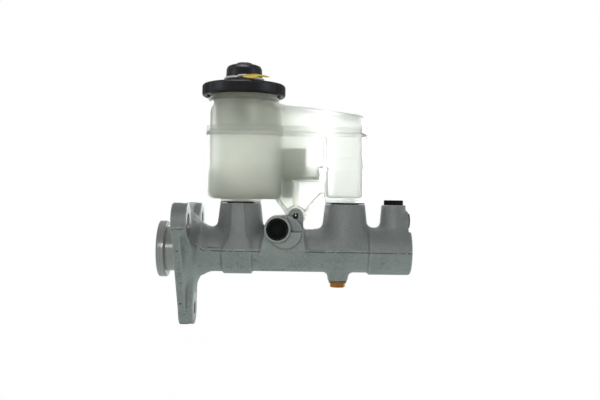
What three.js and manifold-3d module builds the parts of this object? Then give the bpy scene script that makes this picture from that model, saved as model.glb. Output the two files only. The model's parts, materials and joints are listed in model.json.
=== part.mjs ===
// Tandem brake master cylinder with fluid reservoir.
// Millimetres. +X runs along the bore to the front, -Y is the side with the outlet port, +Z is up.
// Pieces are placed from the bore axis at the booster side of the mounting flange. The finished group is
// lifted so that its origin is a point of the flange's booster face, straight below the bore axis.
import * as THREE from 'three';
import { mergeVertices } from 'three/addons/utils/BufferGeometryUtils.js';
import Module from 'manifold-3d';

const wasm = await Module();
wasm.setup();

// ---------------------------------------------------------------- driving dimensions
const BORE_HEIGHT = 31;
const GAP = 0.3;
const ROUND = 24;
const SMALL_ROUND = 12;

const SPIGOT_END = -15.7;
const SPIGOT_RADIUS = 21.4;
const SPIGOT_LAND_FRONT = -9.8;
const NECK_RADIUS = 16.9;

const PLATE_THICKNESS = 6;
const LUG_THICKNESS = 11;
const LUG_RADIUS = 11.8;
const BOLT_CIRCLE_RADIUS = 45;
const BOLT_HOLE_RADIUS = 4.75;
const HUB_RADIUS = 25.5;
const HUB_FRONT = 10.4;
const FLARE_RADIUS = 8.6;

const BARREL_REAR_RADIUS = 16.9;
const BARREL_RADIUS = 16.4;
const BARREL_STEP = 50;
const FRONT_END_START = 141;
const FRONT_END_RADIUS = 17.9;
const BODY_FRONT = 173.4;

const BORE_RADIUS = 11.11;
const BORE_END = 166;
const MOUTH_RADIUS = 13.2;
const MOUTH_DEPTH_X = -8.8;
const SNAP_GROOVE_REAR = -14.3;
const SNAP_GROOVE_FRONT = -12.9;
const SNAP_GROOVE_RADIUS = 14.4;

const TOWER_TOP = 35.2;
const REAR_TOWER_X = 44.8;
const REAR_TOWER_RADIUS = 15.4;
const FRONT_TOWER_X = 123.9;
const FRONT_TOWER_RADIUS = 15.1;
const POCKET_RADIUS = 10.6;
const POCKET_FLOOR = 22.5;

const SIDE_PORT_X = 73.5;
const SIDE_PORT_Z = 16.4;
const SIDE_PORT_FACE_Y = -27;
const SIDE_PORT_BOSS_RADIUS = 9.6;
const TOP_PORT_X = 160.7;
const TOP_PORT_BOSS_RADIUS = 9.1;
const TOP_PORT_FACE_Z = 35.2;
const FORWARD_PORT_Z = 23.2;
const FORWARD_PORT_FACE_X = 171.6;
const PORT_RADIUS = 5;
const PORT_DEPTH = 13;
const PORT_RECESS_DEPTH = 0.7;
const PLUG_HEAD_RADIUS = 7.3;
const PLUG_HEAD_HEIGHT = 4;
const PLUG_STEM_RADIUS = 4.6;
const PLUG_STEM_LENGTH = 7;
const RECESS_CLEARANCE = 0.5;
const FORWARD_PORT_RADIUS = 3.5;
const FORWARD_PORT_DEPTH = 3.6;
const FORWARD_PLUG_HEAD_RADIUS = 5.6;
const DRILLING_RADIUS = 1.75;

const REAR_SUPPLY_HOLE_X = 38.5;
const REAR_VENT_HOLE_X = 49.2;
const FRONT_SUPPLY_HOLE_X = 117.8;
const FRONT_VENT_HOLE_X = 131.2;
const SUPPLY_HOLE_RADIUS = 2.5;
const VENT_HOLE_RADIUS = 0.8;

const PUSHROD_POCKET_RADIUS = 7.2;
const PUSHROD_POCKET_FLOOR = 9;
const PISTON_RADIUS = 10.9;
const CUP_RADIUS = 10.93;
const GROOVE_RADIUS = 8.4;
const WAIST_RADIUS = 6.6;
const SPRING_RADIUS = 7.9;
const WIRE_RADIUS = 1.05;
const PRIMARY_SPRING_START = 48.2;
const PRIMARY_SPRING_LENGTH = 34;
const SECONDARY_SPRING_START = 131.6;
const SECONDARY_SPRING_LENGTH = 33.6;
const SPRING_TURNS = 6;

const PIN_X = 86.6;
const PIN_Z = 26.2;
const PIN_RADIUS = 2;
const EAR_RADIUS = 5.6;
const EAR_INNER_Y = 4.2;
const EAR_OUTER_Y = 12.6;
const TONGUE_RADIUS = 7.3;

const STOPPER_X = 119.1;
const STOPPER_FACE_Z = -22.5;
const STOPPER_HOLE_RADIUS = 4.3;
const GASKET_THICKNESS = 0.8;

const WALL = 2.2;
const TANK_FLOOR = 38.2;
const TANK_REAR = 21;
const REAR_CHAMBER_FRONT = 75.2;
const REAR_CHAMBER_HALF_WIDTH = 28;
const REAR_CHAMBER_CORNER = 13;
const FRONT_CHAMBER_REAR = 108.5;
const TANK_FRONT = 138.3;
const FRONT_CHAMBER_HALF_WIDTH = 17;
const TROUGH_FLOOR = 52.8;
const TROUGH_FRONT = 105.6;
const SADDLE_Z = 61;
const WELD_Z = 88;
const WELD_LIP = 1.8;
const WELD_LIP_HEIGHT = 2.1;
const NECK_X = 46;
const FILLER_RADIUS = 24.2;
const FILLER_TOP = 119;
const ROOF_REAR_Z = 109.5;
const ROOF_STEP_Z = 108.8;
const ROOF_FRONT_Z = 101;

const CAP_RIM_RADIUS = 31.5;
const CAP_BOTTOM = 115.3;
const CAP_RIM_TOP = 124.3;
const CAP_TOP = 141.2;
const KNOB_RADIUS = 13.5;
const STRAP_BOTTOM = 127.7;
const STRAP_TOP = 129.3;
const STRAP_INNER_RADIUS = 14.1;
const STRAP_OUTER_RADIUS = 15.3;
const TAG_EDGE_Y = -22.6;
const TAG_EDGE_Z = 128.9;
const TAG_THICKNESS = 0.6;
const TAG_TILT = 27;

const PARTITION_X = 107.2;
const PARTITION_THICKNESS = 1.8;
const PARTITION_TOP = 84.7;
const GUIDE_RIB_X = 91.6;
const GUIDE_RIB_BOTTOM = 68;
const FLOAT_X = 80.7;
const FLOAT_BOTTOM = 55.6;
const POST_X = 80.4;
const POST_Y = 7;
const POST_RADIUS = 4.4;
const POST_TOP = 76;
const STRAINER_BOTTOM = 92;
const STRAINER_FLOOR_THICKNESS = 1.2;

// ---------------------------------------------------------------- geometry helpers

// Turn a three.js geometry into a manifold with outward-facing triangles.
function toSolid(geometry) {
  let shell = geometry.clone();
  shell.deleteAttribute('normal');
  shell.deleteAttribute('uv');
  if (!geometry.userData.closed) shell = mergeVertices(shell, 1e-4);
  const positions = Float32Array.from(shell.attributes.position.array);
  const corners = [...positions.keys()].slice(0, positions.length / 3);
  const index = shell.index ? Array.from(shell.index.array) : corners;
  const triangles = [];
  for (let i = 0; i < index.length; i += 3) {
    const [a, b, c] = index.slice(i, i + 3);
    if (a !== b && b !== c && c !== a) triangles.push(a, b, c);
  }
  if (signedVolume(positions, triangles) < 0) triangles.reverse();
  const triVerts = Uint32Array.from(triangles);
  const mesh = new wasm.Mesh({ numProp: 3, vertProperties: positions, triVerts });
  mesh.merge();
  return new wasm.Manifold(mesh);
}

function signedVolume(positions, triangles) {
  let total = 0;
  const corner = [new THREE.Vector3(), new THREE.Vector3(), new THREE.Vector3()];
  for (let i = 0; i < triangles.length; i += 3) {
    corner.forEach((point, k) => point.fromArray(positions, 3 * triangles[i + k]));
    total += corner[0].dot(corner[1].clone().cross(corner[2]));
  }
  return total;
}

function toGeometry(manifold) {
  const mesh = manifold.getMesh();
  const geometry = new THREE.BufferGeometry();
  geometry.setAttribute('position', new THREE.BufferAttribute(Float32Array.from(mesh.vertProperties), 3));
  geometry.setIndex(Array.from(mesh.triVerts));
  geometry.computeVertexNormals();
  geometry.userData.closed = true;
  return geometry;
}

function unite(...pieces) {
  return toGeometry(pieces.map(toSolid).reduce((sum, piece) => sum.add(piece)));
}

function cut(base, ...tools) {
  return toGeometry(tools.map(toSolid).reduce((rest, tool) => rest.subtract(tool), toSolid(base)));
}

function overlap(first, second) {
  return toGeometry(toSolid(first).intersect(toSolid(second)));
}

function lathe(profile, segments) {
  const points = profile.map(([along, radius]) => new THREE.Vector2(radius, along));
  if (profile[0][1] > 0) points.push(points[0].clone());
  return new THREE.LatheGeometry(points, segments);
}

// Solids of revolution; the profile is a list of [distance along the axis, radius].
function turnedX(profile, segments = ROUND) {
  return lathe(profile, segments).rotateZ(-Math.PI / 2);
}

function turnedZ(profile, segments = ROUND) {
  return lathe(profile, segments).rotateX(Math.PI / 2);
}

// Turned about an axis that points to -Y.
function turnedOut(profile, segments = ROUND) {
  return lathe(profile, segments).rotateX(Math.PI);
}

function rodX(x0, x1, radius, segments = ROUND) {
  return turnedX([[x0, 0], [x0, radius], [x1, radius], [x1, 0]], segments);
}

function rodZ(z0, z1, radius, segments = ROUND) {
  return turnedZ([[z0, 0], [z0, radius], [z1, radius], [z1, 0]], segments);
}

// Rod along Y from y0 (outer end, more negative) to y1.
function rodY(y0, y1, radius, segments = ROUND) {
  return turnedOut([[-y1, 0], [-y1, radius], [-y0, radius], [-y0, 0]], segments);
}

function rodBetween(start, end, radius) {
  const from = new THREE.Vector3(...start);
  const direction = new THREE.Vector3(...end).sub(from);
  const rod = new THREE.CylinderGeometry(radius, radius, direction.length(), 16);
  const heading = direction.clone().normalize();
  rod.applyQuaternion(new THREE.Quaternion().setFromUnitVectors(new THREE.Vector3(0, 1, 0), heading));
  return rod.translate(...from.addScaledVector(direction, 0.5).toArray());
}

function block(x0, x1, y0, y1, z0, z1) {
  const box = new THREE.BoxGeometry(x1 - x0, y1 - y0, z1 - z0);
  return box.translate((x0 + x1) / 2, (y0 + y1) / 2, (z0 + z1) / 2);
}

function outline(points) {
  return new THREE.Shape(points.map(([a, b]) => new THREE.Vector2(a, b)));
}

function roundedBox(a0, a1, b0, b1, radius) {
  const shape = new THREE.Shape();
  shape.moveTo(a0 + radius, b0);
  shape.lineTo(a1 - radius, b0);
  shape.absarc(a1 - radius, b0 + radius, radius, -Math.PI / 2, 0);
  shape.lineTo(a1, b1 - radius);
  shape.absarc(a1 - radius, b1 - radius, radius, 0, Math.PI / 2);
  shape.lineTo(a0 + radius, b1);
  shape.absarc(a0 + radius, b1 - radius, radius, Math.PI / 2, Math.PI);
  shape.lineTo(a0, b0 + radius);
  shape.absarc(a0 + radius, b0 + radius, radius, Math.PI, 1.5 * Math.PI);
  return shape;
}

// Extrusions of an outline drawn in the plane across the named axis.
function alongX(shape, x0, x1, curveSegments = 4) {
  const solid = new THREE.ExtrudeGeometry(shape, { depth: x1 - x0, bevelEnabled: false, curveSegments });
  const axes = new THREE.Matrix4().makeBasis(
    new THREE.Vector3(0, 1, 0), new THREE.Vector3(0, 0, 1), new THREE.Vector3(1, 0, 0));
  return solid.applyMatrix4(axes).translate(x0, 0, 0);
}

function alongY(shape, y0, y1, curveSegments = 4) {
  const solid = new THREE.ExtrudeGeometry(shape, { depth: y1 - y0, bevelEnabled: false, curveSegments });
  return solid.rotateX(Math.PI / 2).translate(0, y1, 0);
}

function alongZ(shape, z0, z1, curveSegments = 4) {
  const solid = new THREE.ExtrudeGeometry(shape, { depth: z1 - z0, bevelEnabled: false, curveSegments });
  return solid.translate(0, 0, z0);
}

// Upright wall block whose bottom edge is rounded by the given radius.
function bowl(x0, x1, halfWidth, corner, z0, z1, edge) {
  const inner = halfWidth - edge;
  const shape = roundedBox(x0 + edge, x1 - edge, -inner, inner, Math.max(corner - edge, 1));
  const solid = new THREE.ExtrudeGeometry(shape, {
    depth: z1 - z0, bevelEnabled: true, bevelThickness: edge, bevelSize: edge,
    bevelSegments: 1, curveSegments: 3 });
  solid.translate(0, 0, z0 + edge);
  return cut(solid, block(x0 - 1, x1 + 1, -halfWidth - 1, halfWidth + 1, z1, z1 + 3 * edge + 1));
}

function place(geometry, x, y, z) {
  return geometry.translate(x, y, z);
}

// ---------------------------------------------------------------- cylinder body

function flangeOutline() {
  const shape = new THREE.Shape();
  const lugs = [-90, 30, 150].map((degrees) => THREE.MathUtils.degToRad(degrees));
  lugs.forEach((angle, i) => {
    const y = BOLT_CIRCLE_RADIUS * Math.cos(angle);
    const z = BOLT_CIRCLE_RADIUS * Math.sin(angle);
    const arcStart = angle - Math.PI / 3;
    if (i === 0) shape.moveTo(y + LUG_RADIUS * Math.cos(arcStart), z + LUG_RADIUS * Math.sin(arcStart));
    shape.absarc(y, z, LUG_RADIUS, arcStart, angle + Math.PI / 3);
  });
  return shape;
}

// One full-thickness arm running from the hub out to a bolt lug.
function flangeArm(degrees) {
  const angle = THREE.MathUtils.degToRad(degrees);
  const shape = new THREE.Shape();
  const rootHalfWidth = 15;
  shape.moveTo(0, -rootHalfWidth);
  shape.lineTo(BOLT_CIRCLE_RADIUS - 12, -LUG_RADIUS + 1.2);
  shape.lineTo(BOLT_CIRCLE_RADIUS, -LUG_RADIUS);
  shape.absarc(BOLT_CIRCLE_RADIUS, 0, LUG_RADIUS, -Math.PI / 2, Math.PI / 2);
  shape.lineTo(BOLT_CIRCLE_RADIUS - 12, LUG_RADIUS - 1.2);
  shape.lineTo(0, rootHalfWidth);
  return alongX(shape, 0, LUG_THICKNESS, 8).rotateX(angle);
}

function boltHole(degrees) {
  const angle = THREE.MathUtils.degToRad(degrees);
  const hole = rodX(-1, LUG_THICKNESS + 1, BOLT_HOLE_RADIUS, SMALL_ROUND);
  return place(hole, 0, BOLT_CIRCLE_RADIUS * Math.cos(angle), BOLT_CIRCLE_RADIUS * Math.sin(angle));
}

// Barrel with spigot, hub, concave flare and front end, turned about the bore axis.
function barrel() {
  const profile = [
    [SPIGOT_END, 0], [SPIGOT_END, SPIGOT_RADIUS - 1.1], [SPIGOT_END + 1.1, SPIGOT_RADIUS],
    [SPIGOT_LAND_FRONT, SPIGOT_RADIUS], [SPIGOT_LAND_FRONT, NECK_RADIUS], [0, NECK_RADIUS],
    [0, HUB_RADIUS], [HUB_FRONT, HUB_RADIUS],
  ];
  const flareSteps = 3;
  for (let i = 0; i <= flareSteps; i += 1) {
    const turn = (i / flareSteps) * Math.PI / 2;
    const x = HUB_FRONT + FLARE_RADIUS * (1 - Math.cos(turn));
    profile.push([x, BARREL_REAR_RADIUS + FLARE_RADIUS * (1 - Math.sin(turn))]);
  }
  profile.push(
    [BARREL_STEP - 3, BARREL_REAR_RADIUS], [BARREL_STEP, BARREL_RADIUS],
    [FRONT_END_START - 0.6, BARREL_RADIUS], [FRONT_END_START, BARREL_RADIUS - 0.5],
    [FRONT_END_START + 0.8, FRONT_END_RADIUS], [BODY_FRONT - 2, FRONT_END_RADIUS],
    [BODY_FRONT, FRONT_END_RADIUS - 2], [BODY_FRONT, 0],
  );
  return turnedX(profile, 28);
}

function supplyTower(x, topRadius) {
  const profile = [
    [0, 0], [0, BARREL_RADIUS - 0.4], [16, topRadius + 3.2], [19, topRadius + 2.2],
    [24, topRadius + 1.3], [TOWER_TOP, topRadius], [TOWER_TOP, 0],
  ];
  return place(turnedZ(profile, 20), x, 0, 0);
}

// Raised panel on the near side of the rear tower, widening towards the barrel.
function towerPanel() {
  const shape = outline([[33.5, 3], [38.2, 14], [39.6, 34.6], [48, 34.6], [49, 14], [53, 3]]);
  return alongY(shape, -REAR_TOWER_RADIUS - 1.6, 0);
}

function topPortTower() {
  const profile = [
    [0, 0], [0, 12], [15, 12], [18, 10.9], [23, 10], [TOP_PORT_FACE_Z, TOP_PORT_BOSS_RADIUS],
    [TOP_PORT_FACE_Z, 0],
  ];
  const column = place(turnedZ(profile, 18), TOP_PORT_X, 0, 0);
  const forward = place(rodX(TOP_PORT_X, FORWARD_PORT_FACE_X, 7.2, SMALL_ROUND), 0, 0, FORWARD_PORT_Z);
  const web = block(TOP_PORT_X, FORWARD_PORT_FACE_X - 0.6, -7, 7, 8, FORWARD_PORT_Z);
  return unite(column, forward, web);
}

// Block on the near side that carries the outlet port and the bracket ears.
function sideBlock() {
  const foot = outline([[61.2, -1], [93.4, -1], [92.4, 14.2], [79, 14.2], [72, 18], [64.4, 17]]);
  const base = alongY(foot, -18, 13);
  const boss = place(rodY(SIDE_PORT_FACE_Y, 0, SIDE_PORT_BOSS_RADIUS), SIDE_PORT_X, 0, SIDE_PORT_Z);
  const root = place(rodY(SIDE_PORT_FACE_Y + 3.6, 0, 11.8), 79.2, 0, 14.4);
  const shelf = block(79.4, 94, SIDE_PORT_FACE_Y, -EAR_OUTER_Y - 2.4, 14.2, 30);
  return unite(cut(root, shelf), base, boss);
}

function ear(y0, y1) {
  const shape = new THREE.Shape();
  shape.moveTo(PIN_X - EAR_RADIUS - 3, 6);
  shape.lineTo(PIN_X + EAR_RADIUS + 0.6, 6);
  shape.lineTo(PIN_X + EAR_RADIUS, PIN_Z);
  shape.absarc(PIN_X, PIN_Z, EAR_RADIUS, 0, Math.PI);
  shape.lineTo(PIN_X - EAR_RADIUS - 3, 14);
  return alongY(shape, y0, y1, 8);
}

function stopperBoss() {
  const profile = [
    [STOPPER_FACE_Z, 0], [STOPPER_FACE_Z, 7.3], [STOPPER_FACE_Z + 3, 8], [-17.4, 9.6], [-12, 10], [-12, 0],
  ];
  return place(turnedZ(profile, 16), STOPPER_X, 0, 0);
}

// Raised saddle around the lower half of the barrel below the rear tower.
function undersidePad() {
  const band = rodX(32, 54.4, 18.3, 28);
  return overlap(band, block(31, 56, -20, 20, -20, -1.6));
}

function boreCutter() {
  const profile = [
    [SPIGOT_END - 1, 0], [SPIGOT_END - 1, MOUTH_RADIUS], [SNAP_GROOVE_REAR, MOUTH_RADIUS],
    [SNAP_GROOVE_REAR, SNAP_GROOVE_RADIUS], [SNAP_GROOVE_FRONT, SNAP_GROOVE_RADIUS],
    [SNAP_GROOVE_FRONT, MOUTH_RADIUS], [MOUTH_DEPTH_X, MOUTH_RADIUS],
    [MOUTH_DEPTH_X, BORE_RADIUS], [BORE_END - 2, BORE_RADIUS], [BORE_END, BORE_RADIUS - 4], [BORE_END, 0],
  ];
  return turnedX(profile, 28);
}

// Supply and vent holes between the tower pockets and the bore.
function reservoirDrillings() {
  const supply = [REAR_SUPPLY_HOLE_X, FRONT_SUPPLY_HOLE_X].map((x) => (
    place(rodZ(5, POCKET_FLOOR + 1, SUPPLY_HOLE_RADIUS, SMALL_ROUND), x, 0, 0)));
  const vent = [REAR_VENT_HOLE_X, FRONT_VENT_HOLE_X].map((x) => (
    place(rodZ(5, POCKET_FLOOR + 1, VENT_HOLE_RADIUS, 8), x, 0, 0)));
  return [...supply, ...vent];
}

// Threaded-size holes of the three ports, a shallow recess around each, and their drillings to the bore.
function pipePorts() {
  const recess = PLUG_HEAD_RADIUS + RECESS_CLEARANCE;
  const sideFace = SIDE_PORT_FACE_Y;
  const side = [
    place(rodY(sideFace - 1, sideFace + PORT_DEPTH, PORT_RADIUS, SMALL_ROUND), SIDE_PORT_X, 0, SIDE_PORT_Z),
    place(rodY(sideFace - 1, sideFace + PORT_RECESS_DEPTH, recess), SIDE_PORT_X, 0, SIDE_PORT_Z),
    rodBetween([SIDE_PORT_X, -15, SIDE_PORT_Z], [SIDE_PORT_X + 1, -3, 8.6], DRILLING_RADIUS),
  ];
  const topFace = TOP_PORT_FACE_Z;
  const top = [
    place(rodZ(topFace - PORT_DEPTH, topFace + 1, PORT_RADIUS, SMALL_ROUND), TOP_PORT_X, 0, 0),
    place(rodZ(topFace - PORT_RECESS_DEPTH, topFace + 1, recess), TOP_PORT_X, 0, 0),
    place(rodZ(8, 24, DRILLING_RADIUS, SMALL_ROUND), TOP_PORT_X, 0, 0),
  ];
  const frontFace = FORWARD_PORT_FACE_X;
  const past = BODY_FRONT + 3;
  const seat = FORWARD_PLUG_HEAD_RADIUS + RECESS_CLEARANCE;
  const forward = [
    place(rodX(frontFace - FORWARD_PORT_DEPTH, past, FORWARD_PORT_RADIUS, SMALL_ROUND), 0, 0,
      FORWARD_PORT_Z),
    place(rodX(frontFace - PORT_RECESS_DEPTH, past, seat), 0, 0, FORWARD_PORT_Z),
    rodBetween([169, 0, FORWARD_PORT_Z], [163.6, 0, 9.4], 1.2),
  ];
  return [...side, ...top, ...forward];
}

function cylinderBody() {
  const casting = unite(
    barrel(), alongX(flangeOutline(), 0, PLATE_THICKNESS, 5),
    flangeArm(-90), flangeArm(30), flangeArm(150),
    supplyTower(REAR_TOWER_X, REAR_TOWER_RADIUS), towerPanel(),
    supplyTower(FRONT_TOWER_X, FRONT_TOWER_RADIUS), topPortTower(),
    sideBlock(), ear(-EAR_OUTER_Y, -EAR_INNER_Y), ear(EAR_INNER_Y, EAR_OUTER_Y),
    stopperBoss(), undersidePad(),
  );
  const clevis = outline([
    [PIN_X - 10, 16.2], [PIN_X + 9, 16.2], [PIN_X + 9, 36], [PIN_X - 10, 36]]);
  return cut(
    casting, boreCutter(), boltHole(-90), boltHole(30), boltHole(150),
    alongY(clevis, -EAR_INNER_Y, EAR_INNER_Y),
    place(rodY(-EAR_OUTER_Y - 1, EAR_OUTER_Y + 1, PIN_RADIUS + 0.15, SMALL_ROUND), PIN_X, 0, PIN_Z),
    place(rodZ(POCKET_FLOOR, TOWER_TOP + 1, POCKET_RADIUS), REAR_TOWER_X, 0, 0),
    place(rodZ(POCKET_FLOOR, TOWER_TOP + 1, POCKET_RADIUS), FRONT_TOWER_X, 0, 0),
    ...reservoirDrillings(), ...pipePorts(),
    place(rodZ(STOPPER_FACE_Z - 1, -12.6, STOPPER_HOLE_RADIUS, SMALL_ROUND), STOPPER_X, 0, 0),
    place(rodZ(-13, -8, 2.9, SMALL_ROUND), STOPPER_X, 0, 0),
  );
}

// ---------------------------------------------------------------- small parts on the body

function supplyGrommet(x, flangeRadius) {
  const profile = [
    [TOWER_TOP + 0.3, 8.9], [TOWER_TOP + 1.1, 8.9], [TOWER_TOP + 1.1, flangeRadius],
    [TOWER_TOP + 0.3, flangeRadius], [TOWER_TOP + 0.3, POCKET_RADIUS - GAP],
    [POCKET_FLOOR + 2, POCKET_RADIUS - GAP], [POCKET_FLOOR + 2, 8.9],
  ];
  return place(turnedZ(profile, 20), x, 0, 0);
}

function springPin() {
  const tube = turnedOut([
    [-EAR_OUTER_Y - 0.3, 1.2], [-EAR_OUTER_Y - 0.3, PIN_RADIUS], [EAR_OUTER_Y + 0.3, PIN_RADIUS],
    [EAR_OUTER_Y + 0.3, 1.2]], SMALL_ROUND);
  return cut(tube, block(-3, 0, -20, 20, -0.3, 0.3));
}

function stopperBolt() {
  const head = new THREE.CylinderGeometry(5.9, 5.9, 3.9, 6).rotateX(Math.PI / 2).translate(0, 0, -1.95);
  const flange = rodZ(-0.9, 0, 6.6, SMALL_ROUND);
  const shank = turnedZ([
    [-0.5, 0], [-0.5, STOPPER_HOLE_RADIUS - GAP], [9.6, STOPPER_HOLE_RADIUS - GAP], [10.4, 2.4],
    [15.4, 2.4], [15.4, 0]], SMALL_ROUND);
  return unite(head, flange, shank);
}

function stopperGasket() {
  return turnedZ([[0, 4.6], [0, 7.2], [GASKET_THICKNESS, 7.2], [GASKET_THICKNESS, 4.6]], SMALL_ROUND);
}

// Shipping plug: ribbed head sunk in the recess of the port face, hollow stem in the port. Axis along +Z.
function shippingPlug(headRadius, headHeight, stemRadius, stemLength) {
  const lift = GAP - PORT_RECESS_DEPTH;
  const ribs = 12;
  const rim = new THREE.Shape();
  for (let i = 0; i < 2 * ribs; i += 1) {
    const angle = (i / (2 * ribs)) * 2 * Math.PI;
    const radius = i % 2 ? headRadius : headRadius - 0.4;
    if (i === 0) rim.moveTo(radius, 0);
    else rim.lineTo(radius * Math.cos(angle), radius * Math.sin(angle));
  }
  const head = alongZ(rim, lift, headHeight + lift);
  const stem = rodZ(-stemLength, lift + 0.5, stemRadius, SMALL_ROUND);
  const dish = rodZ(headHeight + lift - 0.7, headHeight + lift + 1, headRadius - 1.8, SMALL_ROUND);
  const hollow = rodZ(-stemLength - 1, -0.6, stemRadius - 1.2, SMALL_ROUND);
  return cut(unite(head, stem), dish, hollow);
}

function pipePlug() {
  return shippingPlug(PLUG_HEAD_RADIUS, PLUG_HEAD_HEIGHT, PLUG_STEM_RADIUS, PLUG_STEM_LENGTH);
}

// Flared seat for a brake pipe, pressed into the bottom of a port. Axis along +Z.
function pipeSeat() {
  return turnedZ([[0, 1.5], [0, 4.6], [1.6, 4.6], [4.4, 1.9], [4.4, 1.5]], SMALL_ROUND);
}

function snapRing() {
  const ring = turnedX([[0, 11.4], [0, 14], [1, 14], [1, 11.4]], 20);
  const tips = unite(
    place(rodX(0, 1, 1.9, 16), 0, 2.6, -10.9), place(rodX(0, 1, 1.9, 16), 0, -2.6, -10.9));
  const split = block(-1, 2, -1.5, 1.5, -16, -8);
  const eyes = [2.7, -2.7].map((y) => place(rodX(-1, 2, 0.8, 12), 0, y, -10.7));
  return cut(unite(ring, tips), split, ...eyes);
}

function stopWasher() {
  return turnedX([[-12.5, 9.5], [-12.5, 12.9], [-10, 12.9], [-10, 9.5]], 18);
}

// ---------------------------------------------------------------- hydraulic internals

function primaryPiston() {
  return turnedX([
    [PUSHROD_POCKET_FLOOR, 0], [PUSHROD_POCKET_FLOOR - 3, PUSHROD_POCKET_RADIUS],
    [-14, PUSHROD_POCKET_RADIUS], [-14, 9.1], [-9.6, 9.1], [-9.6, PISTON_RADIUS], [2, PISTON_RADIUS],
    [2, GROOVE_RADIUS], [6.6, GROOVE_RADIUS], [6.6, PISTON_RADIUS], [9, PISTON_RADIUS],
    [10, 7.6], [37.4, 7.6],
    [38.4, PISTON_RADIUS], [42.2, PISTON_RADIUS], [42.2, WAIST_RADIUS], [47.6, WAIST_RADIUS], [47.6, 5.2],
    [52, 5.2], [52, 1.9], [41, 1.9], [41, 0],
  ], 18);
}

// Lip seal with its open side towards +X; length runs from x = 0.
function lipSeal(innerRadius, length) {
  const middle = (innerRadius + CUP_RADIUS) / 2;
  const heel = 0.45 * length;
  return turnedX([
    [0, innerRadius], [0, CUP_RADIUS - 0.3], [length, CUP_RADIUS], [length, CUP_RADIUS - 0.7],
    [heel, middle + 0.2], [heel, middle - 0.2], [length - 0.4, innerRadius + 0.5],
    [length - 0.4, innerRadius],
  ], 18);
}

function cupSpacer() {
  return turnedX([[0, 6.9], [0, 10.6], [0.7, 10.6], [0.7, 6.9]], 18);
}

function primarySpringSeat() {
  return turnedX([
    [82.8, 4.4], [83.7, 4.4], [83.7, 9.6], [82.7, 9.6], [82.7, 5.3], [75.4, 5.3], [75.4, 2.1],
    [76.3, 2.1], [76.3, 4.4],
  ], 18);
}

function cageScrew() {
  return turnedX([
    [42, 0], [42, 1.6], [76.6, 1.6], [76.6, 3.8], [79.4, 3.8], [79.4, 2], [78.4, 2], [78.4, 0]], SMALL_ROUND);
}

function secondaryPiston() {
  return turnedX([
    [98, 0], [98, 5.6], [84, 5.6], [84, PISTON_RADIUS], [86, PISTON_RADIUS], [86, 7.6], [90.4, 7.6],
    [90.4, PISTON_RADIUS], [92.4, PISTON_RADIUS], [92.4, 7.6], [96.8, 7.6], [96.8, PISTON_RADIUS],
    [99, PISTON_RADIUS], [100, WAIST_RADIUS], [121.9, WAIST_RADIUS], [121.9, PISTON_RADIUS],
    [125, PISTON_RADIUS], [125, 6.4], [130, 6.4], [130, 4.6], [134, 4.6], [134, 0],
  ], 18);
}

function secondarySpringSeat() {
  return turnedX([[0, 4.9], [0, 9.4], [0.9, 9.4], [0.9, 5.9], [3, 5.9], [3, 4.9]], 16);
}

class Helix extends THREE.Curve {
  constructor(radius, length, turns) {
    super();
    this.radius = radius;
    this.length = length;
    this.turns = turns;
  }

  getPoint(t) {
    const angle = t * this.turns * 2 * Math.PI;
    return new THREE.Vector3(t * this.length, this.radius * Math.cos(angle), this.radius * Math.sin(angle));
  }
}

// Compression spring along +X that fills the given length.
function spring(length, turns) {
  const section = new THREE.Shape();
  section.absarc(0, 0, WIRE_RADIUS, 0, 2 * Math.PI);
  const path = new Helix(SPRING_RADIUS, length - 2 * WIRE_RADIUS, turns);
  const coil = new THREE.ExtrudeGeometry(section, {
    steps: Math.round(turns * 10), bevelEnabled: false, curveSegments: 2, extrudePath: path });
  return place(coil, WIRE_RADIUS, 0, 0);
}

// ---------------------------------------------------------------- reservoir

// Raised bands where the two mouldings are welded, around the rear and the front chamber.
function weldLips(z0, z1) {
  const wide = REAR_CHAMBER_HALF_WIDTH + WELD_LIP;
  const slim = FRONT_CHAMBER_HALF_WIDTH + WELD_LIP;
  const rear = roundedBox(
    TANK_REAR - WELD_LIP, REAR_CHAMBER_FRONT + WELD_LIP, -wide, wide, REAR_CHAMBER_CORNER);
  const front = roundedBox(60, TANK_FRONT + WELD_LIP, -slim, slim, 9);
  return [alongZ(rear, z0, z1), alongZ(front, z0, z1)];
}

function lowerTankOuter() {
  const top = WELD_Z - GAP / 2;
  const rear = bowl(TANK_REAR, REAR_CHAMBER_FRONT, REAR_CHAMBER_HALF_WIDTH, REAR_CHAMBER_CORNER,
    TANK_FLOOR, top, 5);
  const front = alongZ(roundedBox(60, TANK_FRONT, -FRONT_CHAMBER_HALF_WIDTH, FRONT_CHAMBER_HALF_WIDTH, 8),
    SADDLE_Z, top);
  const trough = bowl(60, TROUGH_FRONT, FRONT_CHAMBER_HALF_WIDTH, 5, TROUGH_FLOOR, SADDLE_Z + 2, 3.4);
  const leg = bowl(
    FRONT_CHAMBER_REAR, TANK_FRONT, FRONT_CHAMBER_HALF_WIDTH, 8, TANK_FLOOR, SADDLE_Z + 2, 3);
  return unite(rear, front, trough, leg, ...weldLips(top - WELD_LIP_HEIGHT, top));
}

function lowerTankInner() {
  const top = WELD_Z + 1;
  const rear = bowl(TANK_REAR + WALL, REAR_CHAMBER_FRONT - WALL, REAR_CHAMBER_HALF_WIDTH - WALL,
    REAR_CHAMBER_CORNER - WALL, TANK_FLOOR + WALL, top, 3);
  const width = FRONT_CHAMBER_HALF_WIDTH - WALL;
  const front = alongZ(roundedBox(62, TANK_FRONT - WALL, -width, width, 6), SADDLE_Z + WALL, top);
  const trough = bowl(62, TROUGH_FRONT - WALL, width, 4, TROUGH_FLOOR + WALL, SADDLE_Z + 4, 2);
  const leg = bowl(
    FRONT_CHAMBER_REAR + WALL, TANK_FRONT - WALL, width, 6, TANK_FLOOR + WALL, SADDLE_Z + 4, 2);
  return unite(rear, front, trough, leg);
}

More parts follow.
